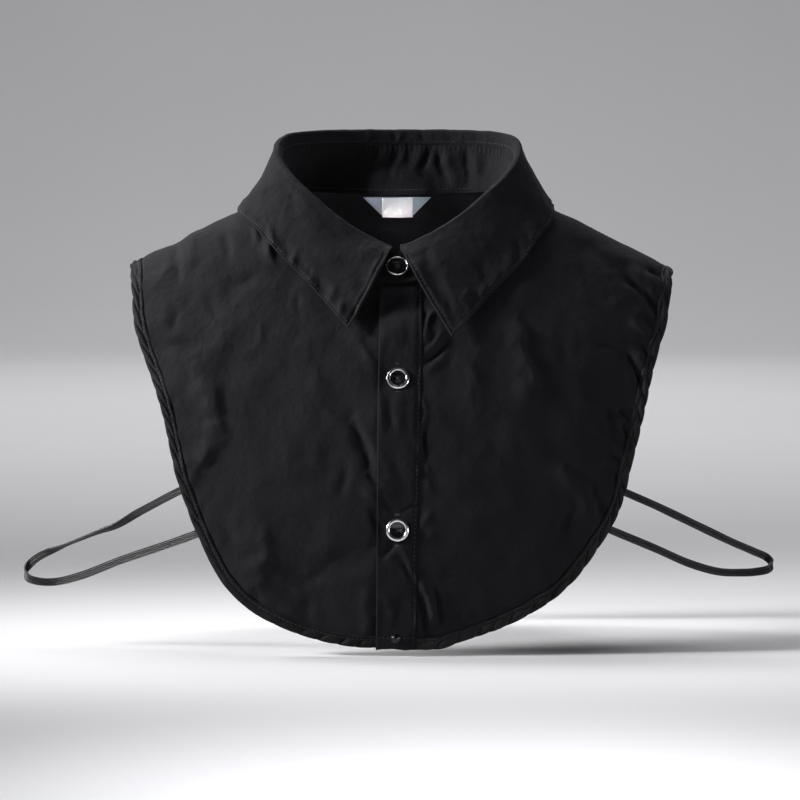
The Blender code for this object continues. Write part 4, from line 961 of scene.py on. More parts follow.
def front_panel(name, sign, path, middle_x, seed):
    nu, nv = 225, 178
    s, r = np.linspace(0, 1, nu), np.linspace(0, 1, nv)
    start = math.degrees(math.asin(middle_x * sign / NECK_HALF))

    def seam(v):
        return neck_place(sign * (start + (SHOULDER_NECK - start) * v))
    at = evened(seam)
    nt, nz = seam(at(s))
    inner = (nt, nz - 0.2)
    k = s * 22
    along = evened(path)(np.clip((k - 1) / 21, 0, 1))
    ot, oz = inset_place(path, along, sign, PANEL_INSET)
    t0, z0 = inset_place(path, np.array([0.0]), sign, PANEL_INSET)
    corner = float(turn_of(middle_x, z0[0]))
    first_k = np.clip(k, 0, 1)
    ot = np.where(k < 1, corner + (t0[0] - corner) * first_k, ot)
    oz = np.where(k < 1, z0[0], oz)
    seam_t, seam_z = shoulder_place(path, sign)
    near = ease((s - 0.88) / 0.12)
    ot, oz = ot + (seam_t - ot[-1]) * near, oz + (seam_z - oz[-1]) * near
    zm = inner[1][0] + (oz[0] - inner[1][0]) * r
    middle = (turn_of(middle_x, zm), zm)
    shoulder = (inner[0][-1] + (ot[-1] - inner[0][-1]) * r,
                inner[1][-1] + (oz[-1] - inner[1][-1]) * r)
    t, z = coons(inner, (ot, oz), middle, shoulder, s, r)
    p, n = form(t, z), form_normal(t, z)
    inside = grown(p, 1)
    inside = inside[:, -1:] - inside
    round_ = grown(p, 0)
    from_seam = round_[-1:, :] - round_
    edge_run = round_[:, -1:]
    h = relief(p) + edge_puckers(edge_run + 0 * inside, inside, seed) * ease(from_seam / 14.0)
    h = h - 0.55 * bell(from_seam, 1.3) + 0.30 * bell(from_seam - 3.6, 2.2)
    # small puckers beside the front band
    x = p[..., 0]
    if sign > 0:
        d = x - sewn_edge(-z)
        h = h + wave(z, 11.0, 4) * np.exp(-np.clip(d, 0, None) / 9.0) * 0.35 * ease((d + 0.5) / 2)
        h = np.where(d < 0.5, h * 1.0 - 0.25 * ease(-(d - 0.5) / 2.0), h)
    else:
        d = free_edge(-z) - x
        h = h + wave(z, 16.0, 6) * np.exp(-np.clip(d, 0, None) / 14.0) * 0.40 * ease(d / 3)
        h = np.where(d < 0, h - 0.25 * ease(-d / 2.0), h)
    h = h[..., None]
    obj = shell(name, p + n * (0.3 + h), p + n * (WALL + h), COTTON, sharp=60)
    return obj, p + n * (WALL + h), n


def back_panel(left, right):
    nu, nv = 82, 150
    s, r = np.linspace(0, 1, nu), np.linspace(0, 1, nv)

    def half(sign, path):
        nt, nz = neck_place(sign * (SHOULDER_NECK + (180.0 - SHOULDER_NECK) * s))
        nt = np.where(s >= 1.0, sign * 180.0, nt)
        inner = (nt, nz - 0.2)
        along = evened(path)(1 - s)
        ot, oz = inset_place(path, along, -sign, PANEL_INSET)
        ot = np.where(s >= 1.0, sign * 180.0, ot)
        seam_t, seam_z = shoulder_place(path, sign)
        near = ease((0.10 - s) / 0.10)
        ot, oz = ot + (seam_t - ot[0]) * near, oz + (seam_z - oz[0]) * near
        first = (inner[0][0] + (ot[0] - inner[0][0]) * r, inner[1][0] + (oz[0] - inner[1][0]) * r)
        last = (np.full(nv, sign * 180.0), inner[1][-1] + (oz[-1] - inner[1][-1]) * r)
        return coons(inner, (ot, oz), first, last, s, r)
    (ta, za), (tb, zb) = half(1, left), half(-1, right)
    t = np.concatenate([ta, tb[-2::-1] + 360.0])
    z = np.concatenate([za, zb[-2::-1]])
    p, n = form(t, z), form_normal(t, z)
    inside = grown(p, 1)
    inside = inside[:, -1:] - inside
    round_ = grown(p, 0)
    from_seam = np.minimum(round_, round_[-1:, :] - round_)
    h = relief(p) + edge_puckers(round_[:, -1:] + 0 * inside, inside, 31) * ease(from_seam / 14.0)
    h = h - 0.55 * bell(from_seam, 1.3) + 0.12 * bell(from_seam - 3.6, 2.2)
    h = h[..., None]
    obj = shell("back_bib", p + n * (0.3 + h), p + n * (WALL + h), COTTON, sharp=60)
    return obj, p + n * (WALL + h), n


# Cross section of the folded strip, from the lip on the bib's face round the
# edge to the inside: distance in from the edge, height above the form, and how
# much the pleats move it.
BIND_RING = [
    (6.55, 1.28, 0.05), (6.80, 1.32, 0.1), (6.84, 1.52, 0.1), (6.66, 1.70, 0.15),
    (6.35, 1.80, 0.25), (6.0, 1.87, 0.35), (5.65, 1.89, 0.35), (5.3, 1.80, 0.3),
    (5.0, 1.58, 0.1), (4.75, 1.46, 0.0), (4.5, 1.58, 0.25), (4.1, 1.82, 0.6),
    (3.6, 1.98, 0.9), (3.0, 2.08, 1.0), (2.3, 2.12, 1.0), (1.6, 2.1, 1.0), (0.9, 2.0, 1.0),
    (0.3, 1.74, 0.8), (-0.12, 1.30, 0.55), (-0.28, 0.75, 0.3), (-0.15, 0.1, 0.1),
    (0.15, -0.5, 0.0), (0.8, -0.86, 0.1), (1.8, -1.0, 0.2), (3.0, -1.02, 0.3),
    (4.3, -0.98, 0.3), (5.6, -0.92, 0.2), (6.6, -0.84, 0.1)]
BIND_WALL = 0.42


def ring_skins():
    """The strip's profile and the same one wall further in."""
    p = np.array([(r[0], r[1]) for r in BIND_RING])
    d = unit(np.gradient(p, axis=0))
    inward = np.stack([-d[:, 1], d[:, 0]], -1)
    if inward[14, 1] > 0:
        inward = -inward
    return p, p + inward * BIND_WALL, np.array([r[2] for r in BIND_RING])


def binding_rings(path, sign, count, pleats=None, forward=1.0, seed=1):
    """Rings of points along one bound edge, with its twisted pleats."""
    even = evened(path)
    share = np.linspace(0.0, 1.0, count + 1)
    s = even(share)
    run = share * even.length
    skin, lining, move = ring_skins()
    b, lift = skin[:, 0], skin[:, 1]
    if pleats:
        line = form(*path(s))
        spots = []
        for x, z, strength, slant in pleats:
            i = int(np.argmin((line[:, 0] - x) ** 2 + (line[:, 2] - z) ** 2))
            spots.append((run[i], strength, slant))
        spots.sort()
    else:
        rng = np.random.RandomState(seed)
        spots, a = [], 4.0
        while a < run[-1] + 6:
            spots.append((a, rng.uniform(0.45, 0.85), rng.uniform(0.28, 0.6)))
            a += rng.uniform(9.5, 15.5)
    centre = np.array([p[0] for p in spots])
    strong = np.array([p[1] for p in spots])
    slant = np.interp(run, centre, [p[2] for p in spots])[:, None]
    index = np.arange(len(spots))
    # each section's place among the pleats, counted in pleats
    a = run[:, None] + forward * (2.0 - b[None, :]) / slant
    lead = (centre[0] - a) / 12.5
    tail = (a - centre[-1]) / 12.5
    count_at = np.interp(a, centre, index)
    count_at = np.where(a < centre[0], -lead, np.where(a > centre[-1], index[-1] + tail, count_at))
    force = np.interp(a, centre, strong)
    phase = count_at - np.floor(count_at + 0.5)
    # round swells with a twisted furrow between them
    crest = 0.70 - 1.80 * np.abs(2 * phase) ** 2.8
    crest = crest + 0.22 * wave(a, 5.0, seed + 3)
    calm = ease((run[-1] - run) / 16.0)[:, None]
    rise = move[None, :] * crest * force * 1.05 * calm - 0.5 * move[None, :] * (1 - calm)
    low = (1 - 0.55 * (1 - ease((run[-1] - run) / 24.0)))[:, None]
    swell = 0.14 * wave(run, 21.0, seed + 5)[:, None] * move[None, :] * calm
    # the lip is drawn in by its small stitches
    lip = bell(b[None, :] - 5.7, 0.55)
    rise = rise + lip * 0.16 * np.sin(2 * math.pi * run[:, None] / 2.9)
    wander = 0.25 * wave(run, 26.0, seed + 9)[:, None] * ease((b[None, :] - 4.4) / 0.6)
    bb = np.broadcast_to(b[None, :], rise.shape) + wander
    # the outer edge itself is a little uneven
    bb = bb - 0.22 * crest * force * calm * (b[None, :] < 1.0) * (lift[None, :] > 0)
    ss = np.broadcast_to(s[:, None], rise.shape)
    out = []
    for face in (skin, lining):
        t, z = inset_place(path, ss, sign, bb + (face[:, 0] - b)[None, :])
        p, n = form(t, z), form_normal(t, z)
        h = relief(p) + skin[None, :, 1] * low + (face - skin)[None, :, 1] + rise + swell
        out.append(p + n * h[..., None])
    if pleats:
        # the strip runs on a little under the front band
        step = form(*path(s[3])) - form(*path(s[0]))
        step = step / np.linalg.norm(step)
        for far, sink in ((1.1, 0.35), (2.4, 0.8), (3.6, 1.0)):
            for k in (0, 1):
                out[k] = np.concatenate([(out[k][:1] if far < 2 else out[k][:1])
                                         - step * (1.1 if far < 2 else 1.25) - n[:1] * 0.33, out[k]])
            n = np.concatenate([n[:1], n])
    return out[0], n, out[1]


def binding(name, rings, lining, node):
    # the strip on the wearer's right takes the darker copy of the bias cloth, a painted shade for the side
    # that faces the key lamp
    obj = shell(name, lining, rings, BIAS_PAINTED_SHADE if node == "binding_right" else BIAS, sharp=70)
    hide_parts(node)
    return obj


# ------------------------------------------------------------------ collar
def stand_mesh():
    turns = np.linspace(-OVERLAP, 371.5, 560)
    foot, top, up, out = stand_frame(turns)
    height = np.linalg.norm(top - foot, axis=1) - fold_in(fold_angle(turns)) + ROLL
    foot = foot + out * lap(turns)[:, None]
    rows = clustered(1.0, 26, (False, False))
    d = -0.5 + (height[:, None] + 0.5) * rows[None, :]
    p = foot[:, None] + up[:, None] * d[..., None]
    x, z = p[..., 0], p[..., 2]
    behind = ease((p[..., 1] - 8.0) / 14.0)
    h = creases(INNER_CREASES, x, z, 1.0) * behind
    q = p * 1.0
    h = h + MOTTLE(q + 200.0, (11.0, 11.0, 20.0)) * 0.8 + FINE(q, (4.6, 4.6, 12.0)) * 0.35
    h = h + FINE(q + 60.0, (2.6, 2.6, 4.5)) * 0.10
    # stitched down at its foot and at its head
    h = h * ease(d / 3.0 + 0.1) * (1 - 0.6 * ease((d - height[:, None] + 2.5) / 2.5))
    round_ = np.concatenate([[0.0], np.cumsum(np.linalg.norm(np.diff(top, axis=0), axis=1))])[:, None]
    tick = np.sin(2 * math.pi * (round_ / 3.1 + 0.35 * wave(round_, 12.0, 51)))
    h = h + 0.30 * tick * (0.7 + 0.5 * wave(round_, 9.0, 52)) * bell(height[:, None] - d - 2.0, 3.2)
    h = h + 0.12 * tick * bell(d - 1.5, 2.2)
    o = out[:, None]
    ends = np.minimum(turns + OVERLAP, 371.5 - turns)[:, None] * 1.2
    half = STAND_WALL / 2 * rounding(ends, 0.9)
    # the cloth bulges towards the inside of the neck where it is gathered
    mid = p - o * h[..., None]
    inner = mid - o * (half + 0 * h)[..., None]
    outer = mid + o * (half + 0 * h)[..., None]
    obj = shell("stand", inner, outer, COLLAR, sharp=50)
    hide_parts("collar_stand")
    return obj


def stand_places():
    places, outs = [], []
    for k in range(-12, 360, 2):
        foot, top, up, out = stand_frame(float(k))
        size = np.linalg.norm(top - foot)
        for j in range(6):
            places.append(foot + out * lap(float(k)) + up * (size * j / 5))
            outs.append(out)
    return np.array(places), np.array(outs)


STAND_AT, STAND_OUT = stand_places()


def smooth_spline(x, y, new):
    """Natural cubic spline through (x, y), y of any trailing shape."""
    n = len(x)
    h = np.diff(x)
    a = np.zeros((n, n))
    b = np.zeros((n,) + y.shape[1:])
    a[0, 0] = a[-1, -1] = 1.0
    slope = np.diff(y, axis=0) / h.reshape((-1,) + (1,) * (y.ndim - 1))
    for i in range(1, n - 1):
        a[i, i - 1], a[i, i], a[i, i + 1] = h[i - 1], 2 * (h[i - 1] + h[i]), h[i]
        b[i] = 6 * (slope[i] - slope[i - 1])
    m = np.linalg.solve(a, b.reshape(n, -1)).reshape(b.shape)
    i = np.clip(np.searchsorted(x, new, side="right") - 1, 0, n - 2)
    shape = (-1,) + (1,) * (y.ndim - 1)
    hh, t = h[i].reshape(shape), (new - x[i]).reshape(shape)
    return (y[i] + t * (slope[i] - hh * (2 * m[i] + m[i + 1]) / 6)
            + t * t * m[i] / 2 + t ** 3 * (m[i + 1] - m[i]) / (6 * hh))


def blur(p, axis, passes, hold=True):
    for _ in range(passes):
        q = p.copy()
        mid = [slice(None)] * p.ndim
        lo, hi = list(mid), list(mid)
        mid[axis], lo[axis], hi[axis] = slice(1, -1), slice(0, -2), slice(2, None)
        q[tuple(mid)] = 0.25 * p[tuple(lo)] + 0.5 * p[tuple(mid)] + 0.25 * p[tuple(hi)]
        p = q
    return p


leaf_edge = {}
for _side, _table in ((1, LEAF_LEFT), (-1, LEAF_RIGHT)):
    _p = [(r[0], float(turn_of(r[1], r[2], r[0] > 90.0)), r[2]) for r in _table]
    leaf_edge[_side] = (Line([p[0] for p in _p], [p[1] for p in _p]),
                        Line([p[0] for p in _p], [p[2] for p in _p]))
LEAF_START, LEAF_STOP = LEAF_LEFT[0][0], 360.0 - LEAF_RIGHT[0][0]


def level_of(q):
    depth = np.where(q[..., 1] < 0, front_at(q[..., 2]), back_at(q[..., 2]))
    return np.hypot(q[..., 0] / half_at(q[..., 2]), q[..., 1] / depth)


def height_above(p):
    e = 0.05
    slope = np.stack([(level_of(p + d) - level_of(p - d)) / (2 * e)
                      for d in np.eye(3) * e], -1)
    size = np.linalg.norm(slope, axis=-1)
    return (level_of(p) - 1.0) / size, slope / size[..., None]


FALL = np.array([0.18, 0.42, 0.66, 0.85, 1.0])


def leaf_fall(turn):
    """Start, bend and end of the leaf's fall at each turn."""
    turn = np.asarray(turn, float)
    t = fold_angle(turn)
    foot, top, up, out = stand_frame(turn)
    top = top + out * lap(turn)[..., None]
    centre = top + out * ROLL
    start = centre + out * ROLL
    left, right = leaf_edge[1], leaf_edge[-1]
    side = np.where(turn > 180.0, -1.0, 1.0)
    place = side * np.where(turn > 180.0, right[0](t), left[0](t))
    z = np.where(turn > 180.0, right[1](t), left[1](t))
    edge = form(place, z) + form_normal(place, z) * LEAF_LIFT
    bend = start - up * 4.0 + (edge - start) * 0.08
    return foot, top, up, out, centre, start, bend, edge


def clear_of_collar(p):
    shape = p.shape
    p = p.reshape(-1, 3)
    gap = ((p[:, None] - STAND_AT[None]) ** 2).sum(-1)
    k = gap.argmin(1)
    near, out = STAND_AT[k], STAND_OUT[k]
    off = ((p - near) * out).sum(-1)
    least = (STAND_WALL + LEAF_WALL) / 2 + 1.4
    push = np.where((np.abs(off) < least) & (np.linalg.norm(p - near, axis=1) < 7.0),
                    least - off, 0.0)
    p = p + out * push[:, None]
    high, away = height_above(p)
    least = WALL + 0.3 + LEAF_WALL / 2 + 0.85 + np.maximum(relief(p), 0.0)
    return (p + away * np.maximum(least - high, 0.0)[:, None]).reshape(shape)


def leaf_mesh():
    # where the CAD's own columns are pushed clear of the stand and the bib
    coarse = np.concatenate([[LEAF_START], 360.0 * np.arange(1, 54) / 54, [LEAF_STOP]])
    _, _, _, _, _, start, bend, edge = leaf_fall(coarse)
    r = FALL[None, :, None]
    raw = start[:, None] * (1 - r) ** 2 + bend[:, None] * 2 * r * (1 - r) + edge[:, None] * r * r
    push = clear_of_collar(raw) - raw
    turns = np.concatenate([
        LEAF_START + clustered(6.0, 9, (True, False)) / 1.6,
        np.linspace(LEAF_START + 4.6, LEAF_STOP - 4.6, 424),
        LEAF_STOP - clustered(6.0, 9, (True, False))[::-1] / 1.6])
    turns = np.unique(np.round(turns, 5))
    push = smooth_spline(coarse, push, turns)
    foot, top, up, out, centre, start, bend, edge = leaf_fall(turns)
    # the fall, from the fold to the edge
    fall = 1 - clustered(60.0, 58, (True, False))[::-1] / 60.0
    fall = fall[fall > 0.004]
    knots = np.concatenate([[0.0], FALL])
    pk = np.concatenate([np.zeros_like(push[:, :1]), push], 1)
    pf = np.stack([np.stack([np.interp(fall, knots, pk[i, :, c]) for c in range(3)], -1)
                   for i in range(len(turns))])
    pf = blur(blur(pf, 1, 24), 0, 6)
    r = fall[None, :, None]
    down = start[:, None] * (1 - r) ** 2 + bend[:, None] * 2 * r * (1 - r) + edge[:, None] * r * r
    down = down + pf
    # its front edges stand proud of the bib, and the lower edges a little
    ahead_of = out * np.array([1.0, 1.0, 0.0])
    ahead_of = unit(ahead_of)
    t = fold_angle(turns)
    right_side = (turns > 180.0)
    proud = 5.0 * bell(t, 25.0) + np.where(right_side, 1.4, 0.7) * bell(t - 42.0, 30.0)
    proud = proud[:, None] * ease(fall / 0.5)[None, :]
    down = down + ahead_of[:, None] * proud[..., None]
    drop = np.where(right_side, 1.9, 1.8) * bell(t, 34.0)
    down[..., 2] -= drop[:, None] * fall[None, :] ** 1.5
    # the roll at the fold, and the part sewn to the stand
    t = fold_angle(turns)
    join = top - up * (fold_in(t) - ROLL - 0.3)[:, None]
    under = np.stack([join + (top - join) * k for k in (0.0, 0.14, 0.3, 0.5, 0.7, 0.86)], 1)
    roll = []
    for a in np.radians(np.linspace(0.0, 180.0, 13)):
        roll.append(centre - out * (ROLL * math.cos(a)) + up * (ROLL * 1.05 * math.sin(a)))
    roll = np.stack(roll, 1)
    mid = np.concatenate([under, roll, down], 1)
    n = surface_normals(mid)
    if (n[len(turns) // 2, -5, 1]) < 0:
        n = -n
    # distances from the free edges, in millimetres
    over = grown(mid, 1)
    below = over[:, -1:] - over
    round_ = grown(mid, 0)
    side_a, side_b = round_, round_[-1:, :] - round_
    # the front edges are measured straight across, as the point is sharp
    side = np.minimum(side_a, side_b)
    x, z = mid[..., 0], mid[..., 2]
    face = ease((over - 13.0) / 6.0)
    ahead = ease((6.0 - mid[..., 1]) / 8.0)
    h = creases(LEAF_CREASES, x, z, 1.0) * face * ahead
    inner_side = ease((16.0 - over) / 5.0) * ease((mid[..., 1] - 8.0) / 14.0)
    h = h - creases(INNER_CREASES, x, z, 0.8) * inner_side * 0.7
    h = h + MOTTLE(mid + 90.0, (22.0, 22.0, 17.0)) * 0.95 * face
    h = h + DRAG(mid + 30.0, (9.0, 9.0, 8.0)) * 0.45 + FINE(mid + 11.0, (4.4, 4.4, 4.0)) * 0.20
    # puckers that the edge stitching draws up
    along = round_[:, -1:] + 0.25 * below
    pitch = wave(along, 6.5, 5) * 0.75 + wave(along + 40.0, 14.0, 8) * 0.45
    h = h + pitch * np.exp(-np.abs(below - 4.8) / 4.5) * face
    h = h + wave(over, 6.0, 12) * 0.6 * np.exp(-np.abs(side - 4.2) / 3.2) * face
    # the turned edge is thick, and the stitches sit in a groove
    for d in (below, side):
        rim = np.minimum(below, side)
    h = h + (0.28 * bell(rim - 0.8, 0.8) - 0.42 * bell(rim - 2.3, 0.55)
             + 0.30 * bell(rim - 4.0, 1.3)) * face
    mid = mid + n * (h * ease(over / 3.0))[..., None]
    half = LEAF_WALL / 2 * np.minimum(rounding(below, 0.6), rounding(side, 0.6))
    half = half * rounding(over + 0.2, 0.4)
    obj = shell("leaf", mid - n * half[..., None], mid + n * half[..., None], COLLAR, sharp=60)
    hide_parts("collar_leaf")
    skin = mid + n * half[..., None]
    return obj, skin, n, below, side, over


# ------------------------------------------------------------------ band
free_edge = Line([-r[0] for r in BAND], [r[1] for r in BAND])
sewn_edge = Line([-r[0] for r in BAND], [r[2] for r in BAND])


def band_height(x, z):
    """Relief and outer lift of the front band at a place."""
    a, b = free_edge(-z), sewn_edge(-z)
    from_free, from_sewn = x - a, b - x
    t = turn_of(x, z)
    h = relief(form(t, z)) * ease((from_free - 1.0) / 6.0 + 0.6)
    h = h + creases(BAND_CREASES, x, z, 1.0)
    h = h + wave(z, 9.0, 15) * 0.22 * np.exp(-np.clip(from_sewn, 0, None) / 3.5)
    h = h + wave(z, 14.0, 17) * 0.22 * np.exp(-np.clip(from_free, 0, None) / 4.0)
    # a pressed ring where the lower button has lain
    ring = np.hypot(x + 0.3, z + 171.8)
    h = h + 0.38 * bell(ring - 8.6, 0.9) * ease((x - 1.5) / 3.0)
    lift = 2.75 - 0.75 * ease(1 - from_sewn / 5.0)
    lift = lift - 0.40 * bell(from_sewn - 1.5, 0.6) + 0.12 * bell(from_free - 1.2, 1.0)
    lift = lift - 0.30 * bell(z - HEM_Z - 7.0, 0.7) + 0.10 * bell(z - HEM_Z - 2.5, 2.4)
    return h, lift


def front_band():
    z = HEM_Z + clustered(BAND_TOP_Z - HEM_Z, 262, (True, False))
    r = clustered(26.0, 40) / 26.0
    zz = z[None, :] + 0 * r[:, None]
    a, b = free_edge(-z)[None, :], sewn_edge(-z)[None, :]
    x = a + (b - a) * r[:, None]
    # the hem is a little uneven
    zz = zz + 0.5 * wave(x, 9.0, 22) * ease(1 - (zz - HEM_Z) / 8.0)
    t = turn_of(x, zz)
    p, n = form(t, zz), form_normal(t, zz)
    h, lift = band_height(x, zz)
    edge = np.minimum(np.minimum(x - a, b - x), (z - HEM_Z)[None, :])
    full = rounding(edge, 0.62)
    low = 1.45 - 0.2 * ease(1 - (b - x) / 5.0)
    mid, half = (lift + low) / 2, (lift - low) / 2 * full
    # the band wears the darker copy of the shirting, a painted shade
    obj = shell("band", p + n * (h + mid - half)[..., None], p + n * (h + mid + half)[..., None],
                BAND_COTTON_PAINTED_SHADE, sharp=60)
    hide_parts("front_band")
    return obj


def on_band(x, z, extra=0.0):
    x, z = np.asarray(x, float), np.asarray(z, float)
    t = turn_of(x, z)
    n = form_normal(t, z)
    h, lift = band_height(x, z)
    return form(t, z) + n * (h + lift + extra)[..., None], n


# ------------------------------------------------------------------ trims
def elastic_loop(name, rows, node):
    path = Route([r[:3] for r in rows])
    pts = np.array([r[:3] for r in rows])
    knots = np.concatenate([[0.0], np.cumsum(np.linalg.norm(np.diff(pts, axis=0), axis=1))])
    across_y = Line(knots, [r[3] for r in rows])
    across_z = Line(knots, [r[4] for r in rows])
    s = np.linspace(0, 1, 261)
    p = path(s)
    along = unit(path(np.minimum(s + 0.004, 1)) - path(np.maximum(s - 0.004, 0)))
    w = np.stack([0 * s, blur(across_y(s * knots[-1]), 0, 30), blur(across_z(s * knots[-1]), 0, 30)], -1)
    w = unit(w - along * (w * along).sum(-1, keepdims=True))
    n = np.cross(along, w)
    ring = []
    half = TAPE_WIDTH / 2
    for u in np.linspace(-0.94, 0.94, 17):
        ring.append((u * half, 0.38 + 0.24 * math.cos(u * math.pi * 4.0), 1))
    for a in (50.0, 0.0, -50.0):
        ring.append((half * (0.955 + 0.045 * math.cos(math.radians(a))), 0.36 * math.sin(math.radians(a)), 0))
    back = [(-u, -v, k) for u, v, k in ring]
    ring = ring + back
    u = np.array([q[0] for q in ring])
    v = np.array([q[1] for q in ring])
    run = s * path.run[-1]
    squeeze = 1 + 0.05 * wave(run, 18.0, 41)[:, None]
    ripple = 0.07 * np.sin(2 * math.pi * run / 2.1)[:, None] * np.sign(v)[None, :]
    curl = 0.10 * wave(run, 34.0, 43)[:, None] * (u[None, :] / half) ** 2
    uu = u[None, :] * squeeze
    vv = v[None, :] + ripple + curl
    rings = p[:, None] + w[:, None] * uu[..., None] + n[:, None] * vv[..., None]
    obj = tube(name, rings, ELASTIC, sharp=70)
    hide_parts(node)
    return obj


def turned_grid(centre, axis, radii, heights, steps, ripple=None):
    side = unit(np.cross(axis, np.array([1.0, 0.0, 0.0])))
    other = np.cross(axis, side)
    a = 2 * math.pi * np.arange(steps) / steps
    r = np.broadcast_to(radii[None, :], (steps, len(radii))).copy()
    h = np.broadcast_to(heights[None, :], (steps, len(heights))).copy()
    if ripple is not None:
        r, h = ripple(a[:, None], r, h)
    spoke = side[None, :] * np.cos(a)[:, None] + other[None, :] * np.sin(a)[:, None]
    return centre + spoke[:, None] * r[..., None] + axis * h[..., None], a


def button(name, centre, axis, big=7.1, eye=4.65, bulge=None):
    """A bright turned rim round a dark dished eye with four thread holes."""
    # the rim's section, a closed loop
    w = (big - eye) / 2.45
    sect = [(eye - 0.05 * w, 0.25), (eye + 0.1 * w, 0.0), (big - 1.2 * w, 0.0),
            (big - 0.5 * w, 0.15), (big - 0.15 * w, 0.5), (big, 0.95), (big - 0.05 * w, 1.4),
            (big - 0.3 * w, 1.85), (big - 0.7 * w, 2.2), (big - 1.15 * w, 2.38),
            (eye + 0.85 * w, 2.36), (eye + 0.45 * w, 2.18), (eye + 0.15 * w, 1.85),
            (eye, 1.45), (eye - 0.06 * w, 0.9)]
    radii = np.array([q[0] for q in sect])
    heights = np.array([q[1] for q in sect])

    def uneven(a, r, h):
        wob = 1 + 0.004 * np.sin(3 * a + 1.0)
        if bulge is not None:
            away = (a - bulge + math.pi) % (2 * math.pi) - math.pi
            r = r + 0.55 * np.exp(-(away / 0.16) ** 2) * (r > eye + 1.4)
        return r * wob, h + 0.03 * np.sin(5 * a)
    steps = 96
    p, _ = turned_grid(centre, axis, radii, heights, steps, uneven)
    rim = mesh_object(name + "_ring", p, grid_quads(steps, len(sect), wrap_u=True, wrap_v=True),
                      METAL)
    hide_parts(name + "_rim")
    # the eye
    c = eye - 0.12
    rr = np.concatenate([np.linspace(0.10, 1.0, 22) * c, [c + 0.02, c - 0.3]])
    hh = np.concatenate([0.72 + 0.62 * (np.linspace(0.10, 1.0, 22)) ** 2.0, [1.2, 0.1]])

    def holes(a, r, h):
        x, y = r * np.cos(a), r * np.sin(a)
        for k in range(4):
            b = math.pi / 4 + k * math.pi / 2
            d = np.hypot(x - 1.3 * math.cos(b), y - 1.3 * math.sin(b))
            h = h - 0.45 * (1 - ease((d - 0.30) / 0.32))
        return r, h
    p, _ = turned_grid(centre, axis, rr, hh, steps, holes)
    base = p.reshape(-1, 3)
    top = centre + axis * 0.72
    bottom = centre + axis * 0.1
    points = np.concatenate([base, [top], [bottom]])
    i = np.arange(steps)
    j = (i + 1) % steps
    nv = len(rr)
    tris = np.concatenate([
        np.stack([np.full(steps, len(base)), j * nv, i * nv], -1),
        np.stack([np.full(steps, len(base) + 1), i * nv + nv - 1, j * nv + nv - 1], -1)])
    eye_obj = mesh_object(name + "_dish", points, grid_quads(steps, nv, wrap_u=True), GLOSS, tris=tris)
    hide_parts(name + "_eye")
    # two crossing threads through the holes
    side = unit(np.cross(axis, np.array([1.0, 0.0, 0.0])))
    other = np.cross(axis, side)
    runs = []
    for k in range(2):
        b = math.pi / 4 + k * math.pi / 2
        for shift in (-0.14, 0.14):
            d = side * math.cos(b) + other * math.sin(b)
            e = side * -math.sin(b) + other * math.cos(b)
            m = centre + axis * (0.86 + 0.12 * k) + e * shift
            line = np.stack([m + d * q for q in np.linspace(-1.5, 1.5, 9)])
            runs.append((line, np.repeat(axis[None], 9, 0), 3.0, 2.9, 0.30))
    stitches(name + "_thread", runs, THREAD)
    return rim


def snap_cap(centre, axis):
    sect = [(0.08, 1.78), (0.5, 1.74), (1.0, 1.60), (1.5, 1.34), (1.9, 1.0), (2.15, 0.78),
            (2.35, 0.74), (2.6, 0.72), (2.78, 0.6), (2.84, 0.4), (2.75, 0.15), (2.4, 0.0), (0.6, -0.05)]
    radii = np.array([q[0] for q in sect])
    heights = np.array([q[1] for q in sect])
    steps = 64
    p, _ = turned_grid(centre, axis, radii, heights, steps)
    base = p.reshape(-1, 3)
    nv = len(sect)
    points = np.concatenate([base, [centre + axis * 1.79], [centre - axis * 0.05]])
    i = np.arange(steps)
    j = (i + 1) % steps
    tris = np.concatenate([np.stack([np.full(steps, len(base)), j * nv, i * nv], -1),
                           np.stack([np.full(steps, len(base) + 1), i * nv + nv - 1,
                                     j * nv + nv - 1], -1)])
    obj = mesh_object("snap_cap", points, grid_quads(steps, nv, wrap_u=True), SNAP_METAL, tris=tris)
    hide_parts("snap")


def label():
    def face(x, z, lift):
        t = turn_of(x, z, back=True)
        return form(t, z) + form_normal(t, z) * np.asarray(lift)[..., None]

    def panel(name, rows, near, far, mat, node, bow, seed):
        zs = np.array([r[0] for r in rows])
        lo = Line(zs, [r[1] for r in rows])
        hi = Line(zs, [r[2] for r in rows])
        v = zs[0] + clustered(zs[-1] - zs[0], 22, (True, False), near=(0.0, 0.06, 0.16, 0.3, 0.5))
        u = clustered(20.0, 34, near=(0.0, 0.06, 0.16, 0.3, 0.5)) / 20.0
        vv = v[None, :] + 0 * u[:, None]
        x = lo(v)[None, :] + (hi(v) - lo(v))[None, :] * u[:, None]
        d = np.minimum(np.minimum(u[:, None], 1 - u[:, None]) * 20.0, vv - zs[0])
        h = bow * np.sin(math.pi * u[:, None]) * ease(1 - (vv - zs[0]) / 12.0)
        h = h + 0.10 * FINE(np.stack([x, 0 * x + seed, vv], -1), (4.0, 4.0, 4.0))
        mid, half = (near + far) / 2 - h, abs(far - near) / 2 * rounding(d, 0.3)
        obj = shell(name, face(x, vv, mid - half), face(x, vv, mid + half), mat, sharp=60)
        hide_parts(node)
        return obj
    panel("label_back", [(15.4, -10.6, 9.9), (20.0, -15.2, 14.3), (26.6, -21.9, 20.7)],
          -0.85, -1.45, LABEL_GREY, "label_base", 0.25, 3)
    panel("label_face", [(14.4, -10.0, 9.3), (20.0, -10.0, 9.3), (26.8, -10.0, 9.3)],
          -1.75, -2.35, LABEL_WHITE, "label_tab", 0.35, 8)


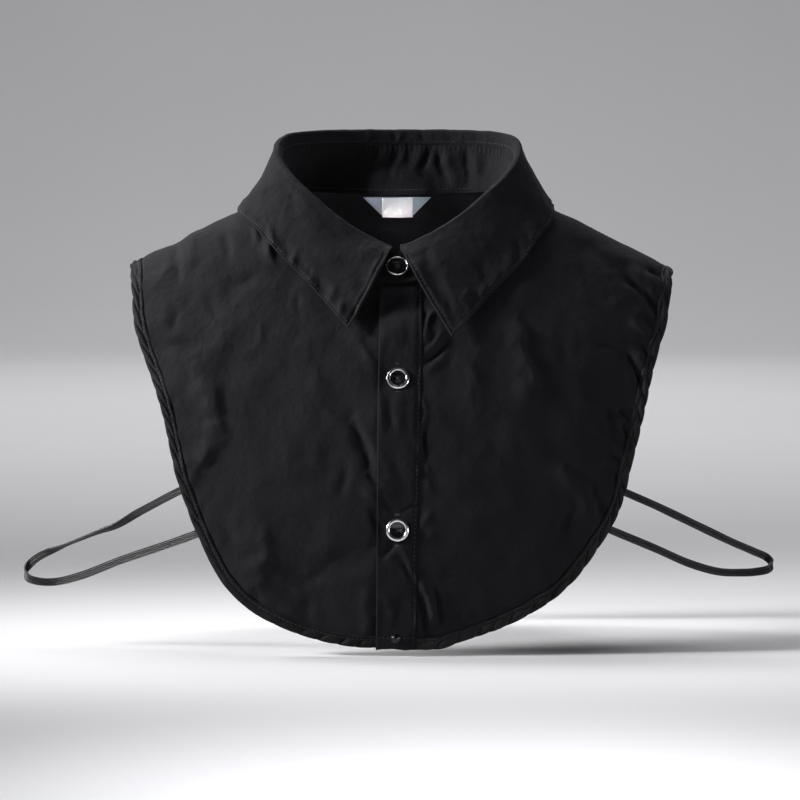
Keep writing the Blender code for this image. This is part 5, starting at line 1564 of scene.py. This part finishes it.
# ------------------------------------------------------------------ build
left_edge = edge_path(EDGE_LEFT, 1, SHOULDER_LEFT_Z)
right_edge = edge_path(EDGE_RIGHT, -1, SHOULDER_RIGHT_Z)
back_left = edge_path(EDGE_BACK, 1, SHOULDER_LEFT_Z, back=True)
back_right = edge_path(EDGE_BACK, -1, SHOULDER_RIGHT_Z, back=True)

bib_left, skin_left, n_left = front_panel("front_left_bib", 1, left_edge, OVER_EDGE, 3)
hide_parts("front_left")
bib_right, skin_right, n_right = front_panel("front_right_bib", -1, right_edge, UNDER_EDGE, 9)
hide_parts("front_right")
bib_back, skin_back, n_back = back_panel(back_left, back_right)
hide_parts("back")
band = front_band()
stand = stand_mesh()
leaf, leaf_skin, leaf_n, leaf_below, leaf_side, leaf_over = leaf_mesh()

rings_l, nl, lining_l = binding_rings(left_edge, 1, 500, PLEATS_LEFT, forward=1.0, seed=2)
bind_left = binding("bound_edge_left", rings_l, lining_l, "binding_left")
rings_r, nr, lining_r = binding_rings(right_edge, -1, 500, PLEATS_RIGHT, forward=-1.0, seed=5)
bind_right = binding("bound_edge_right", rings_r, lining_r, "binding_right")
ra, na, la = binding_rings(back_left, -1, 230, None, seed=7)
rb, nb, lb = binding_rings(back_right, 1, 230, None, seed=8)
rings_b = np.concatenate([ra[::-1], rb[1:]])
nrm_b = np.concatenate([na[::-1], nb[1:]])
bind_back = binding("bound_edge_back", rings_b, np.concatenate([la[::-1], lb[1:]]),
                    "binding_back")

loop_r = elastic_loop("elastic_right", LOOP_RIGHT, "loop_right")
loop_l = elastic_loop("elastic_left", LOOP_LEFT, "loop_left")

for name, x, z in BUTTONS:
    flat, n = on_band(np.array([x]), np.array([z]))
    button(name, flat[0] + n[0] * 0.15, n[0],
           bulge=None if name == "button_lower" else math.pi / 2)
foot, top, up, out = stand_frame(0.0)
height = float(np.linalg.norm(top - foot))
seat = LAP + STAND_WALL / 2 + 0.3
button("button_neck", foot + up * (height * 0.5 - 1.6) + out * seat - np.array([0.5, 0, 0]),
       out, big=6.9, eye=6.0)
flat, n = on_band(np.array([SNAP_AT[0]]), np.array([SNAP_AT[1]]))
snap_cap(flat[0] + n[0] * 0.02, n[0])
label()


# ------------------------------------------------------------------ stitches
def ring_line(rings, normals, place, extra=0.02):
    """Points along a binding at one distance in from its edge."""
    b = np.array([r[0] for r in BIND_RING])
    k = int(np.argmin(np.abs(b[:18] - place)))
    return rings[:, k] + normals[:, k] * extra, normals[:, k]


for who, rings, normals in (("left", rings_l, nl), ("right", rings_r, nr), ("back", rings_b, nrm_b)):
    runs = [(*ring_line(rings, normals, 4.75, 0.10), 2.7, 2.0, 0.34)]
    stitches("stitches_binding_" + who, runs, THREAD)

# leaf edge: along the front edge, the lower edge and the other front edge
def leaf_line(dist):
    """The line of points that lies `dist` in from the leaf's free edges."""
    nu, nv = leaf_below.shape
    over_ok = leaf_over[0] > 11.0
    pts, nrm = [], []
    for i in range(nu):
        if min(leaf_side[i, -1], 1e9) < dist * 1.15:
            continue
        j = np.interp(-dist, -leaf_below[i], np.arange(nv))
        k = int(j)
        f = j - k
        k2 = min(k + 1, nv - 1)
        pts.append(leaf_skin[i, k] * (1 - f) + leaf_skin[i, k2] * f)
        nrm.append(leaf_n[i, k])
    low = (np.array(pts), np.array(nrm))
    fronts = []
    for rows in (range(0, 60), range(nu - 1, nu - 61, -1)):
        rows = list(rows)
        pts, nrm = [], []
        for j in range(nv):
            if leaf_over[rows[0], j] < 8.0 or leaf_below[rows[0], j] < dist * 1.2:
                continue
            d = leaf_side[rows, j]
            i = np.interp(dist, d, np.arange(len(rows)))
            k = int(i)
            f = i - k
            a, b = rows[k], rows[min(k + 1, len(rows) - 1)]
            pts.append(leaf_skin[a, j] * (1 - f) + leaf_skin[b, j] * f)
            nrm.append(leaf_n[a, j])
        fronts.append((np.array(pts), np.array(nrm)))
    return [low] + fronts


stitches("stitches_leaf", [(p, n, 2.7, 2.1, 0.32) for p, n in leaf_line(2.3)], THREAD)

# the collar's join to the stand, inside the neck
turns = np.linspace(14.0, 346.0, 900)
foot, top, up, out = stand_frame(turns)
top = top + out * lap(turns)[:, None]
line = top - up * (fold_in(fold_angle(turns)) - ROLL - 2.4)[:, None] - out * (LEAF_WALL / 2 + 0.02)
low_line = foot + out * lap(turns)[:, None] + up * 2.4 - out * (STAND_WALL / 2 + 0.02)
stitches("stitches_stand", [(line, -out, 2.7, 2.0, 0.32), (low_line, -out, 2.7, 2.0, 0.32)],
         THREAD)

# the band's sewn edge and its hem
z = np.linspace(BAND_TOP_Z - 1.0, HEM_Z + 1.0, 700)
x = sewn_edge(-z) - 1.5
pa, na_ = on_band(x, z, 0.08)
x = np.linspace(float(free_edge(236.0)) + 1.0, float(sewn_edge(236.0)) - 0.8, 90)
pb, nb_ = on_band(x, np.full(90, HEM_Z + 7.0), 0.06)
runs = [(pa, na_, 2.7, 2.0, 0.32), (pb, nb_, 2.5, 1.8, 0.34)]
# bar tacks at the ends of the buttonholes
for bx, bz, up_z, down_z in ((0.0, -82.3, 9.0, 8.2), (-0.3, -171.8, 9.6, 9.4)):
    for dz, count in ((up_z, 3), (-down_z, 2)):
        for k in range(count):
            zz = bz + dz - 0.45 * k * np.sign(dz)
            xs = np.linspace(bx - 1.9, bx + 1.9, 12)
            p, n = on_band(xs, np.full(12, zz), 0.10)
            runs.append((p, n, 3.8, 3.4, 0.34))
stitches("stitches_band", runs, THREAD)

# shoulder seams
runs = []
for skin, nn, rows in ((skin_left, n_left, -4), (skin_right, n_right, -4)):
    runs.append((skin[rows, 6:-4] + nn[rows, 6:-4] * 0.05, nn[rows, 6:-4], 2.7, 2.0, 0.32))
stitches("stitches_shoulder", runs, THREAD)

# ------------------------------------------------------------------ the studio
FLOOR_Z = -0.247


def bowl():
    """A pale floor that turns up into a low wall all round, far from the object."""
    prof = [(0.0, 0.0)] + [(r, 0.0) for r in np.linspace(0.5, 4.2, 16)]
    for a in np.linspace(6, 90, 22):
        prof.append((4.2 + 1.2 * math.sin(math.radians(a)), 1.2 - 1.2 * math.cos(math.radians(a))))
    prof += [(5.4, v) for v in (1.6, 2.0)]
    steps = 96
    pts = [(0.0, 0.0, FLOOR_Z)]
    for r, h in prof[1:]:
        for k in range(steps):
            a = 2 * math.pi * k / steps
            pts.append((r * math.cos(a), r * math.sin(a), FLOOR_Z + h))
    faces = []
    for k in range(steps):
        faces.append((0, 1 + k, 1 + (k + 1) % steps))
    for q in range(len(prof) - 2):
        for k in range(steps):
            m = (k + 1) % steps
            a, b = 1 + q * steps, 1 + (q + 1) * steps
            faces.append((a + k, b + k, b + m, a + m))
    me = bpy.data.meshes.new("studio_floor")
    me.from_pydata(pts, [], faces)
    me.shade_smooth()
    m = bpy.data.materials.new("studio_paint")
    m.use_nodes = True
    nodes, links = m.node_tree.nodes, m.node_tree.links
    shader = nodes["Principled BSDF"]
    shader.inputs["Specular IOR Level"].default_value = 0.1
    place = nodes.new("ShaderNodeTexCoord")
    noise = nodes.new("ShaderNodeTexNoise")
    noise.inputs["Scale"].default_value = 3.0
    noise.inputs["Detail"].default_value = 5.0
    links.new(place.outputs["Object"], noise.inputs["Vector"])
    mix = nodes.new("ShaderNodeMix")
    mix.data_type = "RGBA"
    mix.inputs["A"].default_value = (0.66, 0.66, 0.67, 1)
    mix.inputs["B"].default_value = (0.70, 0.70, 0.71, 1)
    links.new(noise.outputs["Fac"], mix.inputs["Factor"])
    links.new(mix.outputs["Result"], shader.inputs["Base Color"])
    shader.inputs["Roughness"].default_value = 0.9
    me.materials.append(m)
    obj = bpy.data.objects.new("studio_floor", me)
    bpy.context.scene.collection.objects.link(obj)


bowl()


def lamp(name, place, target, size, power, colour=(1, 1, 1), spread=180.0, size_y=None):
    data = bpy.data.lights.new(name, "AREA")
    data.shape = "RECTANGLE" if size_y else "SQUARE"
    data.size = size
    if size_y:
        data.size_y = size_y
    data.energy = power
    data.color = colour
    data.spread = math.radians(spread)
    obj = bpy.data.objects.new(name, data)
    obj.location = place
    obj.rotation_mode = "QUATERNION"
    obj.rotation_quaternion = (Vector(target) - Vector(place)).to_track_quat("-Z", "Y")
    bpy.context.scene.collection.objects.link(obj)
    return obj


MIDDLE = (0.0, -0.04, -0.09)


def from_side(azimuth, elevation, distance):
    """A place seen from the object: azimuth 0 is the camera's side, -90 its left."""
    a, e = math.radians(azimuth), math.radians(elevation)
    return (MIDDLE[0] + distance * math.sin(a) * math.cos(e),
            MIDDLE[1] - distance * math.cos(a) * math.cos(e),
            MIDDLE[2] + distance * math.sin(e))


lamp("key", from_side(-80, 24, 1.7), MIDDLE, 0.36, 2.75, (1.0, 0.99, 1.0), spread=38.0)
lamp("key_side", from_side(-57, 28, 1.9), MIDDLE, 0.5, 0.20, (1.0, 0.99, 1.0), spread=34.0)
lamp("kicker", from_side(-118, 42, 1.7), MIDDLE, 0.5, 0.95, (1.0, 0.99, 1.0), spread=38.0)
lamp("fill", from_side(-12, 6, 2.2), MIDDLE, 0.6, 0.030, (0.97, 0.98, 1.0), spread=30.0)
lamp("right_side", from_side(70, 0, 2.0), (0.05, -0.06, -0.15), 0.5, 0.70, (0.97, 0.98, 1.0), spread=34.0)
lamp("neck", (0.0, -1.37, 0.56), (-0.0005, 0.066, 0.0175), 0.02, 0.0040, (1.0, 1.0, 1.0), spread=1.0)
lamp("floor_near", (0.0, 1.5, 2.3), (0.0, 1.5, -0.2), 1.4, 32.0, (0.98, 0.98, 1.0), spread=150.0)
lamp("floor_close", (0.05, -0.76, 1.25), (0.05, -0.76, -0.2), 0.2, 1.0, (0.98, 0.98, 1.0), spread=30.0)
lamp("floor_far", (0.0, 3.2, 2.0), (0.0, 3.8, -0.2), 1.4, 24.0, (0.98, 0.98, 1.0), spread=150.0)
lamp("floor_ahead", (0.0, -1.9, 2.0), (0.0, -1.9, -0.2), 1.0, 6.0, (0.98, 0.98, 1.0), spread=72.0)

world = bpy.data.worlds.new("studio_air")
world.use_nodes = True
world.node_tree.nodes["Background"].inputs["Color"].default_value = (0.5, 0.5, 0.52, 1)
world.node_tree.nodes["Background"].inputs["Strength"].default_value = 0.03
bpy.context.scene.world = world
bpy.context.scene.view_settings.view_transform = "Standard"

cam_data = bpy.data.cameras.new("camera")
cam_data.sensor_width, cam_data.lens = 36.0, 217.74
cam_data.clip_start, cam_data.clip_end = 0.05, 50.0
cam = bpy.data.objects.new("camera", cam_data)
cam.location = (0.00124, -2.995886, 0.057844)
cam.rotation_mode = "QUATERNION"
cam.rotation_quaternion = (Vector((0.00124, 0.0, -0.099164)) - Vector(cam.location)).to_track_quat("-Z", "Y")
bpy.context.scene.collection.objects.link(cam)
bpy.context.scene.camera = cam
